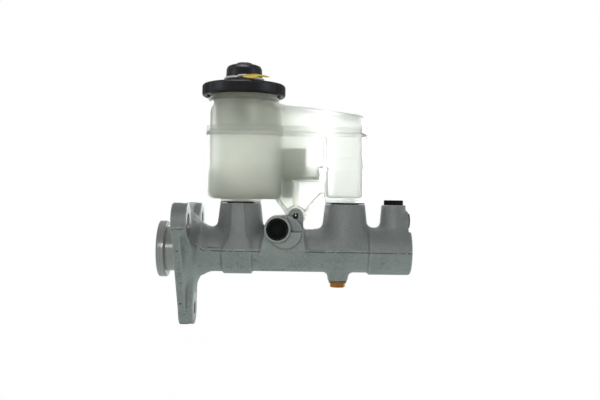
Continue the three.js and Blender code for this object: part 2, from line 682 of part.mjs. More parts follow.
function collarAndNipple(x, collarRadius) {
  const base = TOWER_TOP + 1.3;
  return place(turnedZ([
    [24.6, 0], [24.6, 8.6], [base, 8.6], [base, collarRadius], [TANK_FLOOR + 1, collarRadius],
    [TANK_FLOOR + 1, 0]], 20), x, 0, 0);
}

// Web, three ribs and the tongue that sits between the ears of the body.
function bracket() {
  const web = alongY(outline([
    [72, 39.4], [82, 27], [91, 27], [101.6, 36], [109.4, 40], [109.4, 45], [104, 54], [72, 54]]), -1, 1);
  const leftRib = alongY(outline([[69.6, 39], [72.8, 39], [83.6, 25.8], [80.4, 24.8]]), -3.4, 3.4);
  const rightRib = alongY(outline([[92.8, 24.8], [89.6, 25.8], [105.8, 44.4], [109.4, 44.6]]), -3.4, 3.4);
  const centreRib = block(PIN_X - 1.5, PIN_X + 1.5, -3.4, 3.4, PIN_Z, TROUGH_FLOOR + 1);
  const tongue = place(rodY(-3.8, 3.8, TONGUE_RADIUS, 16), PIN_X, 0, PIN_Z);
  return unite(web, leftRib, rightRib, centreRib, tongue);
}

// Partition between the two circuits, and the rib on the near wall that keeps the float in place.
function innerWalls() {
  const reach = FRONT_CHAMBER_HALF_WIDTH - WALL + 0.4;
  const front = PARTITION_X + PARTITION_THICKNESS;
  const partition = block(PARTITION_X, front, -reach, reach, SADDLE_Z + 1, PARTITION_TOP);
  const rib = block(
    GUIDE_RIB_X, GUIDE_RIB_X + PARTITION_THICKNESS, -reach, 2.6 - reach, GUIDE_RIB_BOTTOM, PARTITION_TOP);
  return [partition, rib];
}

function reservoirLower() {
  const shell = cut(lowerTankOuter(), lowerTankInner());
  const post = place(rodZ(TROUGH_FLOOR + 0.4, POST_TOP, POST_RADIUS, SMALL_ROUND), POST_X, POST_Y, 0);
  const nipples = [collarAndNipple(REAR_TOWER_X, 15.3), collarAndNipple(FRONT_TOWER_X, 15.2)];
  const nippleBores = [REAR_TOWER_X, FRONT_TOWER_X].map((x) => (
    place(rodZ(20, TANK_FLOOR + WALL + 1, 6.4), x, 0, 0)));
  return cut(
    unite(shell, post, ...innerWalls(), ...nipples, bracket()), ...nippleBores,
    place(rodZ(TROUGH_FLOOR - 2, POST_TOP - 2.4, POST_RADIUS - 1.2, SMALL_ROUND), POST_X, POST_Y, 0),
    place(rodY(-6, 6, PIN_RADIUS + 0.25, SMALL_ROUND), PIN_X, 0, PIN_Z),
  );
}

// Side outline of the front roof: falls to the front and rounds over at the end.
function frontRoofOutline(inset) {
  const end = TANK_FRONT - inset;
  const low = ROOF_FRONT_Z - inset;
  return outline([
    [60, WELD_Z - 1], [end, WELD_Z - 1], [end, low - 4.2], [end - 1.2, low - 1.4], [end - 4.4, low + 0.3],
    [90, 107.4 - inset], [76, ROOF_STEP_Z - inset], [60, ROOF_STEP_Z - inset]]);
}

function upperTank(inset, z0) {
  const rearTop = ROOF_REAR_Z - inset;
  const rearHalfWidth = REAR_CHAMBER_HALF_WIDTH - 0.6 - inset;
  const rear = bowl(TANK_REAR + 0.6 + inset, REAR_CHAMBER_FRONT - 0.2 - inset, rearHalfWidth,
    REAR_CHAMBER_CORNER - inset, -rearTop, -z0, 3.6).rotateX(Math.PI);
  const width = FRONT_CHAMBER_HALF_WIDTH - 0.4 - inset;
  const plan = alongZ(roundedBox(60, TANK_FRONT - inset, -width, width, 8 - inset), z0, 112);
  return unite(rear, overlap(plan, alongY(frontRoofOutline(inset), -30, 30)));
}

function reservoirUpper() {
  const base = WELD_Z + GAP / 2;
  const neck = place(turnedZ([
    [104, 0], [104, FILLER_RADIUS + 1.4], [108, FILLER_RADIUS + 1.4], [110.6, FILLER_RADIUS],
    [111.8, FILLER_RADIUS], [112.4, 27], [114.2, 27], [114.8, FILLER_RADIUS], [116.4, FILLER_RADIUS],
    [117, 25.6], [118, 25.6], [118.4, FILLER_RADIUS], [FILLER_TOP, FILLER_RADIUS], [FILLER_TOP, 0]], 24),
  NECK_X, 0, 0);
  return cut(
    unite(upperTank(0, base), ...weldLips(base, base + WELD_LIP_HEIGHT), neck), upperTank(WALL, base - 1),
    place(rodZ(100, FILLER_TOP + 1, FILLER_RADIUS - WALL, 24), NECK_X, 0, 0),
  );
}

// Strainer basket hanging from the top of the filler neck.
function strainer() {
  const radius = FILLER_RADIUS - WALL - 0.7;
  const floor = STRAINER_BOTTOM + STRAINER_FLOOR_THICKNESS;
  const basket = turnedZ([
    [STRAINER_BOTTOM, 0], [STRAINER_BOTTOM, radius - 2], [STRAINER_BOTTOM + 2, radius],
    [FILLER_TOP + GAP, radius], [FILLER_TOP + GAP, FILLER_RADIUS - 0.2],
    [FILLER_TOP + 1, FILLER_RADIUS - 0.2], [FILLER_TOP + 1, radius - 1],
    [floor + 1.2, radius - 1], [floor, radius - 2.4], [floor, 0]], 16);
  const windows = [0, 45, 90, 135].map((degrees) => (
    block(-30, 30, -4, 4, 97, 112).rotateZ(THREE.MathUtils.degToRad(degrees + 22.5))));
  return cut(basket, ...windows, rodZ(STRAINER_BOTTOM - 1, floor + 1, 5, 16));
}

function floatBody() {
  const hull = new THREE.ExtrudeGeometry(roundedBox(-11.8, 11.8, -11, 13, 5), {
    depth: 17.8, bevelEnabled: true, bevelThickness: 1.6, bevelSize: 1.2,
    bevelSegments: 1, curveSegments: 3 });
  hull.translate(0, 0, 1.6);
  const guide = place(rodZ(-1, 30, POST_RADIUS + 0.6, SMALL_ROUND), POST_X - FLOAT_X, POST_Y, 0);
  const groove = block(11.8, 15, -20, 20, 11.7, 14.7);
  return cut(hull, guide, groove);
}

function levelSwitch() {
  const insert = rodZ(-0.4, 20, 2.9, SMALL_ROUND);
  const collar = rodZ(-2.4, -0.3, 4.3, SMALL_ROUND);
  const socket = alongZ(roundedBox(-4, 4, -3.4, 7, 1.6), -13, -2);
  const opening = alongZ(roundedBox(-2.8, 2.8, -2.2, 5.8, 1), -14, -5);
  const blades = [block(-1.6, -0.8, 1, 3.2, -11, -4), block(0.8, 1.6, 1, 3.2, -11, -4)];
  return unite(insert, collar, cut(socket, opening), ...blades);
}

// ---------------------------------------------------------------- cap

function ribbedRim() {
  const ribs = 28;
  const shape = new THREE.Shape();
  for (let i = 0; i < 2 * ribs; i += 1) {
    const angle = (i / (2 * ribs)) * 2 * Math.PI;
    const radius = i % 2 ? CAP_RIM_RADIUS : CAP_RIM_RADIUS - 0.7;
    if (i === 0) shape.moveTo(radius, 0);
    else shape.lineTo(radius * Math.cos(angle), radius * Math.sin(angle));
  }
  return alongZ(shape, CAP_BOTTOM, CAP_RIM_TOP - 1);
}

function capShell() {
  const crown = turnedZ([
    [CAP_BOTTOM + 1, 0], [CAP_BOTTOM + 1, 30.4], [CAP_RIM_TOP - 0.8, 30.8], [CAP_RIM_TOP, 30.2],
    [125.6, 24], [127, 16], [127.4, KNOB_RADIUS + 0.4], [136.2, KNOB_RADIUS], [138.4, KNOB_RADIUS - 1.1],
    [139.5, KNOB_RADIUS - 3.7], [139.7, 6], [CAP_TOP, 5.7], [CAP_TOP, 0]], 24);
  const inside = turnedZ([
    [CAP_BOTTOM - 1, 0], [CAP_BOTTOM - 1, 28], [122.8, 28], [124, 13], [126, 11.4], [136, 10.6], [137, 9],
    [137, 0]], 20);
  return cut(unite(ribbedRim(), crown), inside);
}

function capSeal() {
  return turnedZ([
    [121.9, 0], [121.9, 9], [119.2, 12], [119.2, 15], [120.4, 18], [120.4, FILLER_RADIUS + 1],
    [122, FILLER_RADIUS + 1], [122, 16.4], [121, 14.6], [121, 13.4], [123, 9.6], [123, 0]], 18);
}

// Strap looped around the foot of the knob, with a tail that reaches out to the tag.
function tagStrap() {
  const collar = turnedZ([
    [STRAP_BOTTOM, STRAP_INNER_RADIUS], [STRAP_BOTTOM, STRAP_OUTER_RADIUS],
    [STRAP_TOP, STRAP_OUTER_RADIUS], [STRAP_TOP, STRAP_INNER_RADIUS]], 20);
  const tail = outline([
    [-3.5, -14.7], [-3.5, -18.4], [-2.2, -21], [0.3, -22.3], [0.6, -21.5], [-1.5, -20.3], [-2.6, -18.2],
    [-2.6, -14.7]]);
  return unite(collar, alongZ(tail, STRAP_BOTTOM + 0.1, STRAP_TOP - 0.1));
}

// Flat tag with a pointed end, sloping down and out on the near side of the knob.
function capTag() {
  const shape = outline([
    [0.2, -2.2], [1.2, 0], [4, 0], [12, -2.2], [16.5, -2.5], [19.2, -4.2], [16.5, -5.9], [12, -6.1],
    [7.5, -9.4], [0.2, -6]]);
  const tilt = THREE.MathUtils.degToRad(TAG_TILT);
  return alongZ(shape, -TAG_THICKNESS, 0).rotateX(tilt).translate(1, TAG_EDGE_Y, TAG_EDGE_Z);
}

// ---------------------------------------------------------------- assembly

const CAST = [0x8b918e, 0.62, 0.75];
const STEEL = [0x9aa0a4, 0.35, 0.9];
const ANODISED = [0xb9b394, 0.4, 0.8];
const RUBBER = [0x1b1b1c, 0.8, 0];
const TANK = [0xd8d8cc, 0.45, 0];
const BLACK = [0x17181a, 0.55, 0];
const ZINC = [0xc07a35, 0.35, 0.85];
const BRASS = [0xb39a55, 0.35, 0.9];
const YELLOW = [0xd8b022, 0.6, 0];
const GREY = [0x8c8f92, 0.6, 0];

const group = new THREE.Group();
group.name = 'brake_master_cylinder';

function part(name, geometry, [color, roughness, metalness], position = [0, 0, 0], rotation = [0, 0, 0]) {
  const closed = toGeometry(toSolid(geometry));
  const mesh = new THREE.Mesh(closed, new THREE.MeshStandardMaterial({ color, roughness, metalness }));
  mesh.name = name;
  mesh.position.set(...position);
  mesh.rotation.set(...rotation);
  group.add(mesh);
}

const FACING_SIDE = [Math.PI / 2, 0, 0];
const FACING_FRONT = [0, Math.PI / 2, 0];
const FACING_REAR_LIP = [0, 0, Math.PI];

part('cylinder_body', cylinderBody(), CAST);
part('rear_supply_grommet', supplyGrommet(REAR_TOWER_X, 15), RUBBER);
part('front_supply_grommet', supplyGrommet(FRONT_TOWER_X, 14.8), RUBBER);
part('reservoir_pin', springPin(), STEEL, [PIN_X, 0, PIN_Z]);
part('stopper_bolt', stopperBolt(), ZINC, [STOPPER_X, 0, STOPPER_FACE_Z - 1.3]);
part('stopper_gasket', stopperGasket(), BRASS, [STOPPER_X, 0, STOPPER_FACE_Z - 1.05]);
part('side_port_plug', pipePlug(), BLACK, [SIDE_PORT_X, SIDE_PORT_FACE_Y, SIDE_PORT_Z], FACING_SIDE);
part('top_port_plug', pipePlug(), BLACK, [TOP_PORT_X, 0, TOP_PORT_FACE_Z]);
part('forward_port_plug', shippingPlug(FORWARD_PLUG_HEAD_RADIUS, 1.7, 3.2, 2.6), BLACK,
  [FORWARD_PORT_FACE_X, 0, FORWARD_PORT_Z], FACING_FRONT);
part('side_port_seat', pipeSeat(), BRASS,
  [SIDE_PORT_X, SIDE_PORT_FACE_Y + PORT_DEPTH - 0.2, SIDE_PORT_Z], FACING_SIDE);
part('top_port_seat', pipeSeat(), BRASS, [TOP_PORT_X, 0, TOP_PORT_FACE_Z - PORT_DEPTH + 0.2]);
part('snap_ring', snapRing(), STEEL, [-14.1, 0, 0]);
part('stop_washer', stopWasher(), STEEL);

part('primary_piston', primaryPiston(), ANODISED);
part('primary_rear_seal', lipSeal(8.6, 4), RUBBER, [2.3, 0, 0]);
part('cup_spacer', cupSpacer(), STEEL, [42.5, 0, 0]);
part('primary_cup', lipSeal(6.9, 3.9), RUBBER, [43.5, 0, 0]);
part('primary_spring', spring(PRIMARY_SPRING_LENGTH, SPRING_TURNS), STEEL, [PRIMARY_SPRING_START, 0, 0]);
part('primary_spring_seat', primarySpringSeat(), STEEL);
part('cage_screw', cageScrew(), STEEL);
part('secondary_piston', secondaryPiston(), ANODISED);
part('secondary_rear_cup', lipSeal(7.9, 3.8), RUBBER, [90.1, 0, 0], FACING_REAR_LIP);
part('secondary_middle_cup', lipSeal(7.9, 3.8), RUBBER, [92.7, 0, 0]);
part('secondary_front_cup', lipSeal(6.7, 4), RUBBER, [125.3, 0, 0]);
part('secondary_spring_seat', secondarySpringSeat(), STEEL, [130.3, 0, 0]);
part('secondary_spring', spring(SECONDARY_SPRING_LENGTH, SPRING_TURNS), STEEL,
  [SECONDARY_SPRING_START, 0, 0]);

part('reservoir_lower', reservoirLower(), TANK);
part('reservoir_upper', reservoirUpper(), TANK);
part('strainer', strainer(), TANK, [NECK_X, 0, 0]);
part('float', floatBody(), GREY, [FLOAT_X, 0, FLOAT_BOTTOM]);
part('level_switch', levelSwitch(), BLACK, [POST_X, POST_Y, TROUGH_FLOOR]);
part('cap_seal', capSeal(), RUBBER, [NECK_X, 0, 0]);
part('cap_shell', capShell(), BLACK, [NECK_X, 0, 0]);
part('tag_strap', tagStrap(), GREY, [NECK_X, 0, 0]);
part('cap_tag', capTag(), YELLOW, [NECK_X, 0, 0]);

group.position.z = BORE_HEIGHT;
export default group;
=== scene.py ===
import json
import math
from contextlib import contextmanager
import bmesh
import bpy
import numpy as np
from mathutils import Matrix, Vector

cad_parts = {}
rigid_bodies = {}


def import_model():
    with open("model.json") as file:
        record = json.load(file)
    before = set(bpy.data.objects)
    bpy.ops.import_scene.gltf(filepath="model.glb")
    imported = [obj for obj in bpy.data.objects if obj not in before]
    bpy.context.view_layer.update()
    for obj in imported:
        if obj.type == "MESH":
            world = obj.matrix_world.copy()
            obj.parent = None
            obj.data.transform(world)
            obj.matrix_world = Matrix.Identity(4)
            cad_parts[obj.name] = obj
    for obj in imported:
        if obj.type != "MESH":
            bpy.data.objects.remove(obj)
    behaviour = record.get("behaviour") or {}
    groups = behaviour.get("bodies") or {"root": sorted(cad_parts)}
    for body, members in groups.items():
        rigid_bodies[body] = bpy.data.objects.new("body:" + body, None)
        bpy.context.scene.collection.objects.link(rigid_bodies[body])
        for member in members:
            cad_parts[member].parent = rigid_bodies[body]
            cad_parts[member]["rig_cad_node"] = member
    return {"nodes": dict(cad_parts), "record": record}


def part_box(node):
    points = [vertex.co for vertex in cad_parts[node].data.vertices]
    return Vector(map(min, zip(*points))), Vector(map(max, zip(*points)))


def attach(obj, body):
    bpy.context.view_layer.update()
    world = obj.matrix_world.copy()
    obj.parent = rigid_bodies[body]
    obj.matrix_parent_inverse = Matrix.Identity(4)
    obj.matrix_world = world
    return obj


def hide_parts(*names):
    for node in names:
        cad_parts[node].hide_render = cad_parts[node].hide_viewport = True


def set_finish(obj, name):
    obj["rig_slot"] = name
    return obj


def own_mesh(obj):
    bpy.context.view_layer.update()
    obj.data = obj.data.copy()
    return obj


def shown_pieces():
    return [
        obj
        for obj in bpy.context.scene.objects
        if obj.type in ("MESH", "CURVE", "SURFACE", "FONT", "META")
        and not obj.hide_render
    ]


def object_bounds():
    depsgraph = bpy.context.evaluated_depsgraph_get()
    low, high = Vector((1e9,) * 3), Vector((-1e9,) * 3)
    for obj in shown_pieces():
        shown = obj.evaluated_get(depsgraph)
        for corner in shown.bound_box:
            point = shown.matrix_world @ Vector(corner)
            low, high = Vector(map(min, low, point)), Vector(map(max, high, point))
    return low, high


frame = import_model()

MM = 0.001
cad_low, cad_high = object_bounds()

# Shapes are modelled in millimetres from the bore axis; the frame's origin lies below it on the flange face.
piston_low, piston_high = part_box("primary_piston")
AXIS_Z = (piston_low.z + piston_high.z) / 2
TO_FRAME = Matrix.Translation((0, 0, AXIS_Z))


# ---------- distance-field modelling (millimetres)

def span(axis, x, y, z):
    """The two coordinates across an axis, then the one along it."""
    return {"x": (y, z, x), "y": (x, z, y), "z": (x, y, z)}[axis]


def rounded(side, end, soft):
    """Distance to a shape with soft edges; side and end are distances to faces set in by soft."""
    outside = np.sqrt(np.maximum(side, 0) ** 2 + np.maximum(end, 0) ** 2)
    return np.minimum(np.maximum(side, end), 0) + outside - soft


def reach(axis, h0, h1, u0, u1, v0, v1):
    """Corners of the box that holds a shape along an axis."""
    return {"x": ((h0, u0, v0), (h1, u1, v1)), "y": ((u0, h0, v0), (u1, h1, v1)),
            "z": ((u0, v0, h0), (u1, v1, h1))}[axis]


def rod(axis, u, v, h0, h1, r0, r1=None, soft=0.0):
    """Cylinder or cone along an axis, centred on (u, v) across it."""
    r1 = r0 if r1 is None else r1
    slope = (r1 - r0) / (h1 - h0)
    scale = 1 / math.sqrt(1 + slope * slope)

    def distance(x, y, z):
        a, b, h = span(axis, x, y, z)
        side = (np.sqrt((a - u) ** 2 + (b - v) ** 2) - (r0 + slope * (h - h0)) + soft) * scale
        end = np.abs(h - (h0 + h1) / 2) - (h1 - h0) / 2 + soft
        return rounded(side, end, soft)
    r = max(r0, r1)
    return distance, *reach(axis, h0, h1, u - r, u + r, v - r, v + r)


def slab(x0, x1, y0, y1, z0, z1, soft=0.0):
    """Box with rounded edges."""
    def distance(x, y, z):
        qx = np.abs(x - (x0 + x1) / 2) - (x1 - x0) / 2 + soft
        qy = np.abs(y - (y0 + y1) / 2) - (y1 - y0) / 2 + soft
        qz = np.abs(z - (z0 + z1) / 2) - (z1 - z0) / 2 + soft
        outside = np.sqrt(np.maximum(qx, 0) ** 2 + np.maximum(qy, 0) ** 2 + np.maximum(qz, 0) ** 2)
        return outside + np.minimum(np.maximum(qx, np.maximum(qy, qz)), 0) - soft
    return distance, (x0, y0, z0), (x1, y1, z1)


def polygon(points, a, b):
    """Signed distance to a closed outline, negative inside."""
    best = None
    inside = None
    for (ax, ay), (bx, by) in zip(points, points[1:] + points[:1]):
        ex, ey = bx - ax, by - ay
        wx, wy = a - ax, b - ay
        t = np.clip((wx * ex + wy * ey) / (ex * ex + ey * ey), 0, 1)
        d = (wx - ex * t) ** 2 + (wy - ey * t) ** 2
        best = d if best is None else np.minimum(best, d)
        crosses = ((ay <= b) & (by > b)) | ((by <= b) & (ay > b))
        left = wx < ex * (b - ay) / (by - ay) if by != ay else np.zeros_like(best, bool)
        flip = crosses & left
        inside = flip if inside is None else inside ^ flip
    return np.where(inside, -1, 1) * np.sqrt(best)


def prism(axis, points, h0, h1, grow=0.0, soft=0.0):
    """Outline extruded along an axis; grow offsets it outwards with round corners."""
    def distance(x, y, z):
        a, b, h = span(axis, x, y, z)
        a, b, h = np.broadcast_arrays(a, b, h) if a.ndim == 1 else (a, b, h)
        side = polygon(points, a, b) - grow + soft
        end = np.abs(h - (h0 + h1) / 2) - (h1 - h0) / 2 + soft
        return rounded(side, end, soft)
    us, vs = zip(*points)
    return distance, *reach(axis, h0, h1, min(us) - grow, max(us) + grow, min(vs) - grow, max(vs) + grow)


def ball(c, r):
    def distance(x, y, z):
        return np.sqrt((x - c[0]) ** 2 + (y - c[1]) ** 2 + (z - c[2]) ** 2) - r
    return distance, tuple(q - r for q in c), tuple(q + r for q in c)


def link(p, q, r0, r1=None):
    """Rod between two points with round ends."""
    r1 = r0 if r1 is None else r1
    p, q = np.array(p, float), np.array(q, float)
    e = q - p

    def distance(x, y, z):
        t = np.clip(((x - p[0]) * e[0] + (y - p[1]) * e[1] + (z - p[2]) * e[2]) / (e @ e), 0, 1)
        d = (x - p[0] - t * e[0]) ** 2 + (y - p[1] - t * e[1]) ** 2 + (z - p[2] - t * e[2]) ** 2
        return np.sqrt(d) - (r0 + (r1 - r0) * t)
    r = max(r0, r1)
    return distance, tuple(np.minimum(p, q) - r), tuple(np.maximum(p, q) + r)


def smooth_min(a, b, k):
    if k <= 0:
        return np.minimum(a, b)
    h = np.maximum(k - np.abs(a - b), 0) / k
    return np.minimum(a, b) - h * h * k * 0.25


def both(first, second, k):
    """Shape that is the rounded overlap of two shapes."""
    f, lo, hi = first
    g, lo2, hi2 = second
    return (lambda x, y, z: -smooth_min(-f(x, y, z), -g(x, y, z), k),
            tuple(map(max, lo, lo2)), tuple(map(min, hi, hi2)))


CORNERS = [(i, j, k) for i in (0, 1) for j in (0, 1) for k in (0, 1)]


def surface_cells(inside):
    """Grid cells that have corners on both sides of the surface."""
    count = np.zeros([n - 1 for n in inside.shape], np.int8)
    for corner in CORNERS:
        count += inside[tuple(slice(c, n - 1 + c) for c, n in zip(corner, inside.shape))]
    return np.argwhere((count > 0) & (count < len(CORNERS)))


def cell_points(d, cells):
    """Mean crossing of the surface with the edges of each cell, in grid steps."""
    values = {c: d[tuple((cells + c).T)] for c in CORNERS}
    total = np.zeros((len(cells), 3))
    hits = np.zeros(len(cells))
    for start in CORNERS:
        for axis in range(3):
            if start[axis]:
                continue
            end = tuple(1 if n == axis else q for n, q in enumerate(start))
            da, db = values[start], values[end]
            cross = (da < 0) != (db < 0)
            p = np.array(start, float)[None, :].repeat(len(cells), 0)
            p[:, axis] += np.where(cross, da / np.where(cross, da - db, 1), 0)
            total += p * cross[:, None]
            hits += cross
    return cells + total / hits[:, None]


def edge_quads(inside, number, axis):
    """Quads around the grid edges along one axis that cross the surface; number holds the cells' indices."""
    before, after = [slice(None)] * 3, [slice(None)] * 3
    before[axis], after[axis] = slice(0, -1), slice(1, None)
    at = np.argwhere(inside[tuple(before)] != inside[tuple(after)])
    b, c = [n for n in range(3) if n != axis]
    within = (at[:, b] > 0) & (at[:, c] > 0)
    within &= (at[:, b] < inside.shape[b] - 1) & (at[:, c] < inside.shape[c] - 1)
    at = at[within]
    ring = []
    for db, dc in ((-1, -1), (0, -1), (0, 0), (-1, 0)):
        cell = at.copy()
        cell[:, b] += db
        cell[:, c] += dc
        ring.append(number[tuple(cell.T)])
    quad = np.stack(ring, 1)
    flip = inside[tuple(at.T)] ^ (axis == 1)
    quad[~flip] = quad[~flip][:, ::-1]
    return quad


def combine(kind, old, v, k):
    """Distance after a shape at distance v is added to, cut from or kept of what is there."""
    if kind == "add":
        return smooth_min(old, v, k)
    return -smooth_min(-old, v if kind == "cut" else -v, k)


class Solid:
    """A list of shapes joined and cut with rounded transitions, turned into a mesh by surface nets."""

    def __init__(self):
        self.steps = []

    def add(self, shape, k=0.6, mark=0.0):
        self.steps.append(("add", shape, k, mark))
        return self

    def cut(self, shape, k=0.4, mark=1.0):
        self.steps.append(("cut", shape, k, mark))
        return self

    def keep(self, shape, k=0.4, mark=0.0):
        self.steps.append(("keep", shape, k, mark))
        return self

    def at(self, p, marks=False):
        x, y, z = p[:, 0], p[:, 1], p[:, 2]
        d = np.full(len(p), 50.0)
        tag = np.zeros(len(p))
        for kind, (f, low, high), k, mark in self.steps:
            margin = k + 4
            near = np.ones(len(p), bool)
            if kind != "keep":
                for c, lo, hi in zip((x, y, z), low, high):
                    near &= (c > lo - margin) & (c < hi + margin)
            if not near.any():
                continue
            v = f(x[near], y[near], z[near])
            old = d[near]
            d[near] = combine(kind, old, v, k)
            own = {"add": v < old, "cut": -v > old - 0.02, "keep": v > old - 0.02}[kind]
            tag[near] = np.where(own, mark, tag[near])
        return (d, tag) if marks else d

    def field(self, low, high, step):
        axes = [np.arange(lo, hi + step, step, dtype=np.float32) for lo, hi in zip(low, high)]
        d = np.full([len(a) for a in axes], 50.0, np.float32)
        for kind, (f, lo, hi), k, mark in self.steps:
            margin = k + 4
            cuts = [slice(0, len(a)) for a in axes]
            if kind != "keep":
                ends = [np.searchsorted(a, (l - margin, h + margin)) for a, l, h in zip(axes, lo, hi)]
                cuts = [slice(int(first), int(last)) for first, last in ends]
            x, y, z = (a[c] for a, c in zip(axes, cuts))
            v = f(x[:, None, None], y[None, :, None], z[None, None, :]).astype(np.float32)
            d[tuple(cuts)] = combine(kind, d[tuple(cuts)], v, k)
        return axes, d

    def mesh(self, low, high, step):
        """Vertices and quads of the surface, settled onto the exact distance field."""
        axes, d = self.field(low, high, step)
        inside = d < 0
        cells = surface_cells(inside)
        points = cell_points(d, cells) * step + np.array([a[0] for a in axes])
        number = np.full([n - 1 for n in inside.shape], -1, np.int32)
        number[tuple(cells.T)] = np.arange(len(cells))
        quads = [edge_quads(inside, number, axis) for axis in range(3)]
        return self.settle(points, step), np.concatenate(quads)

    def gradient(self, p, e=0.05):
        g = np.stack([self.at(p + o) - self.at(p - o) for o in np.eye(3) * e], 1)
        return g / np.maximum(np.linalg.norm(g, axis=1, keepdims=True), 1e-9)

    def settle(self, p, step, rounds=2):
        for _ in range(rounds):
            d = np.clip(self.at(p), -0.4 * step, 0.4 * step)
            p = p - self.gradient(p) * d[:, None]
        return p


def to_object(name, points, quads, attributes=None):
    """A smooth mesh object from millimetre points."""
    mesh = bpy.data.meshes.new(name)
    quads = np.asarray(quads, np.int32)
    n = quads.shape[1]
    mesh.vertices.add(len(points))
    mesh.vertices.foreach_set("co", (np.asarray(points) * MM).astype(np.float32).ravel())
    mesh.loops.add(quads.size)
    mesh.loops.foreach_set("vertex_index", quads.ravel())
    mesh.polygons.add(len(quads))
    mesh.polygons.foreach_set("loop_start", np.arange(0, quads.size, n, dtype=np.int32))
    mesh.polygons.foreach_set("loop_total", np.full(len(quads), n, np.int32))
    mesh.update(calc_edges=True)
    mesh.validate()
    mesh.polygons.foreach_set("use_smooth", np.ones(len(mesh.polygons), bool))
    for key, value in (attributes or {}).items():
        layer = mesh.attributes.new(key, "FLOAT", "POINT")
        layer.data.foreach_set("value", np.asarray(value, np.float32))
    ob = bpy.data.objects.new(name, mesh)
    bpy.context.scene.collection.objects.link(ob)
    return ob


def wear(ob, body, nodes, slot):
    """Lifts a finished piece from the bore axis into the frame and fixes it to its body."""
    ob.data.transform(TO_FRAME)
    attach(ob, body)
    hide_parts(*nodes)
    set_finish(ob, slot)
    return ob


# ---------- mesh steps and main dimensions

BODY_STEP, QUICK_BODY_STEP = 0.55, 1.0
TANK_STEP, FLOAT_STEP, BOLT_STEP = 0.75, 0.8, 0.3

SPIGOT_END, SPIGOT_FRONT, SPIGOT_RADIUS = -15.7, -9.8, 21.4
NECK_RADIUS = 16.9
LUG_ANGLES = (-90, 30, 150)
LUG_CIRCLE, LUG_RADIUS, LUG_THICKNESS = 45, 11.8, 11
STUD_HOLE_RADIUS = 4.75
BARREL_RADIUS, BARREL_STEP = 16.4, 48
END_START, END_RADIUS, BODY_FRONT = 141.2, 17.9, 173.4
BORE_RADIUS, BORE_END = 11.11, 166
MOUTH_RADIUS, MOUTH_FLOOR = 13.2, -8.8
REAR_TOWER_X, FRONT_TOWER_X, TOWER_TOP = 44.8, 123.9, 35.2
TOWER_POCKET_RADIUS, TOWER_POCKET_FLOOR = 10.6, 22.5
SIDE_PORT_X, SIDE_PORT_Z, SIDE_PORT_FACE = 73.5, 16.4, -27
TOP_PORT_X = 160.7
FORWARD_PORT_Z, FORWARD_PORT_FACE = 23.2, 171.6
PORT_RADIUS, PLUG_RECESS_RADIUS, DRILLING_RADIUS = 5.0, 7.8, 1.75
STOPPER_X, STOPPER_FACE = 119.1, -22.5
PIN_X, PIN_Z, PIN_RADIUS, PIN_HALF_LENGTH = 86.6, 26.2, 2.0, 12.9
EAR_INNER, EAR_OUTER, EAR_RADIUS = 4.2, 12.7, 5.6

# ---------- the casting

LUGS = [(LUG_CIRCLE * math.cos(math.radians(t)), LUG_CIRCLE * math.sin(math.radians(t))) for t in LUG_ANGLES]


def barrel(s):
    s.add(rod("x", 0, 0, -4, 52, NECK_RADIUS), 0)
    s.add(rod("x", 0, 0, BARREL_STEP, 146, BARREL_RADIUS), 2.0)
    s.add(rod("x", 0, 0, END_START, BODY_FRONT, END_RADIUS, END_RADIUS - 0.1, soft=1.6), 0.8)


def flange(s):
    """Plate, three thick arms and the hub that flares into the barrel."""
    s.add(prism("x", LUGS, 0, 6, grow=LUG_RADIUS, soft=0.7), 2.0)
    for y, z in LUGS:
        arm = [(0, 0.01), (y, z), (y * 0.999, z * 0.999 + 0.01)]
        s.add(prism("x", arm, 0, LUG_THICKNESS, grow=LUG_RADIUS - 0.2, soft=0.9), 2.2)
        s.add(rod("x", y, z, 0, LUG_THICKNESS + 0.1, LUG_RADIUS, soft=0.8), 1.5)
    s.add(rod("x", 0, 0, 0, 10.6, 26, 25, soft=1.0), 3.0)
    s.add(rod("x", 0, 0, 8, 17.5, 24.6, 17.0), 9.0)


def towers(s):
    """Conical towers under the reservoir; the rear one has a raised panel on the near side."""
    s.add(rod("z", REAR_TOWER_X, 0, -1, TOWER_TOP + 1, 19.6, 15.3, soft=0.6), 5.0)
    s.add(rod("z", FRONT_TOWER_X, 0, 2, TOWER_TOP + 1, 19.0, 15.0, soft=0.6), 5.0)
    panel = [(38.6, -2), (50.2, -2), (48, 36), (39.6, 36)]
    foot = [(33.5, 0), (54, 0), (49.5, 12), (38.8, 12)]
    s.add(prism("y", panel, -16.6, -6, soft=0.5), 2.4)
    s.add(prism("y", foot, -17.2, -6, soft=0.5), 3.0)


def front_end(s):
    """Column of the top port and nose of the forward port."""
    s.add(rod("z", TOP_PORT_X, 0, 4, TOWER_TOP + 1, 11.4, 9.0, soft=0.5), 4.5)
    s.add(rod("x", 0, FORWARD_PORT_Z, 158, 171.7, 7.6, 7.0, soft=0.5), 2.0)
    s.add(slab(160, 171.2, -7.2, 7.2, 8, 24, soft=2.0), 3.0)


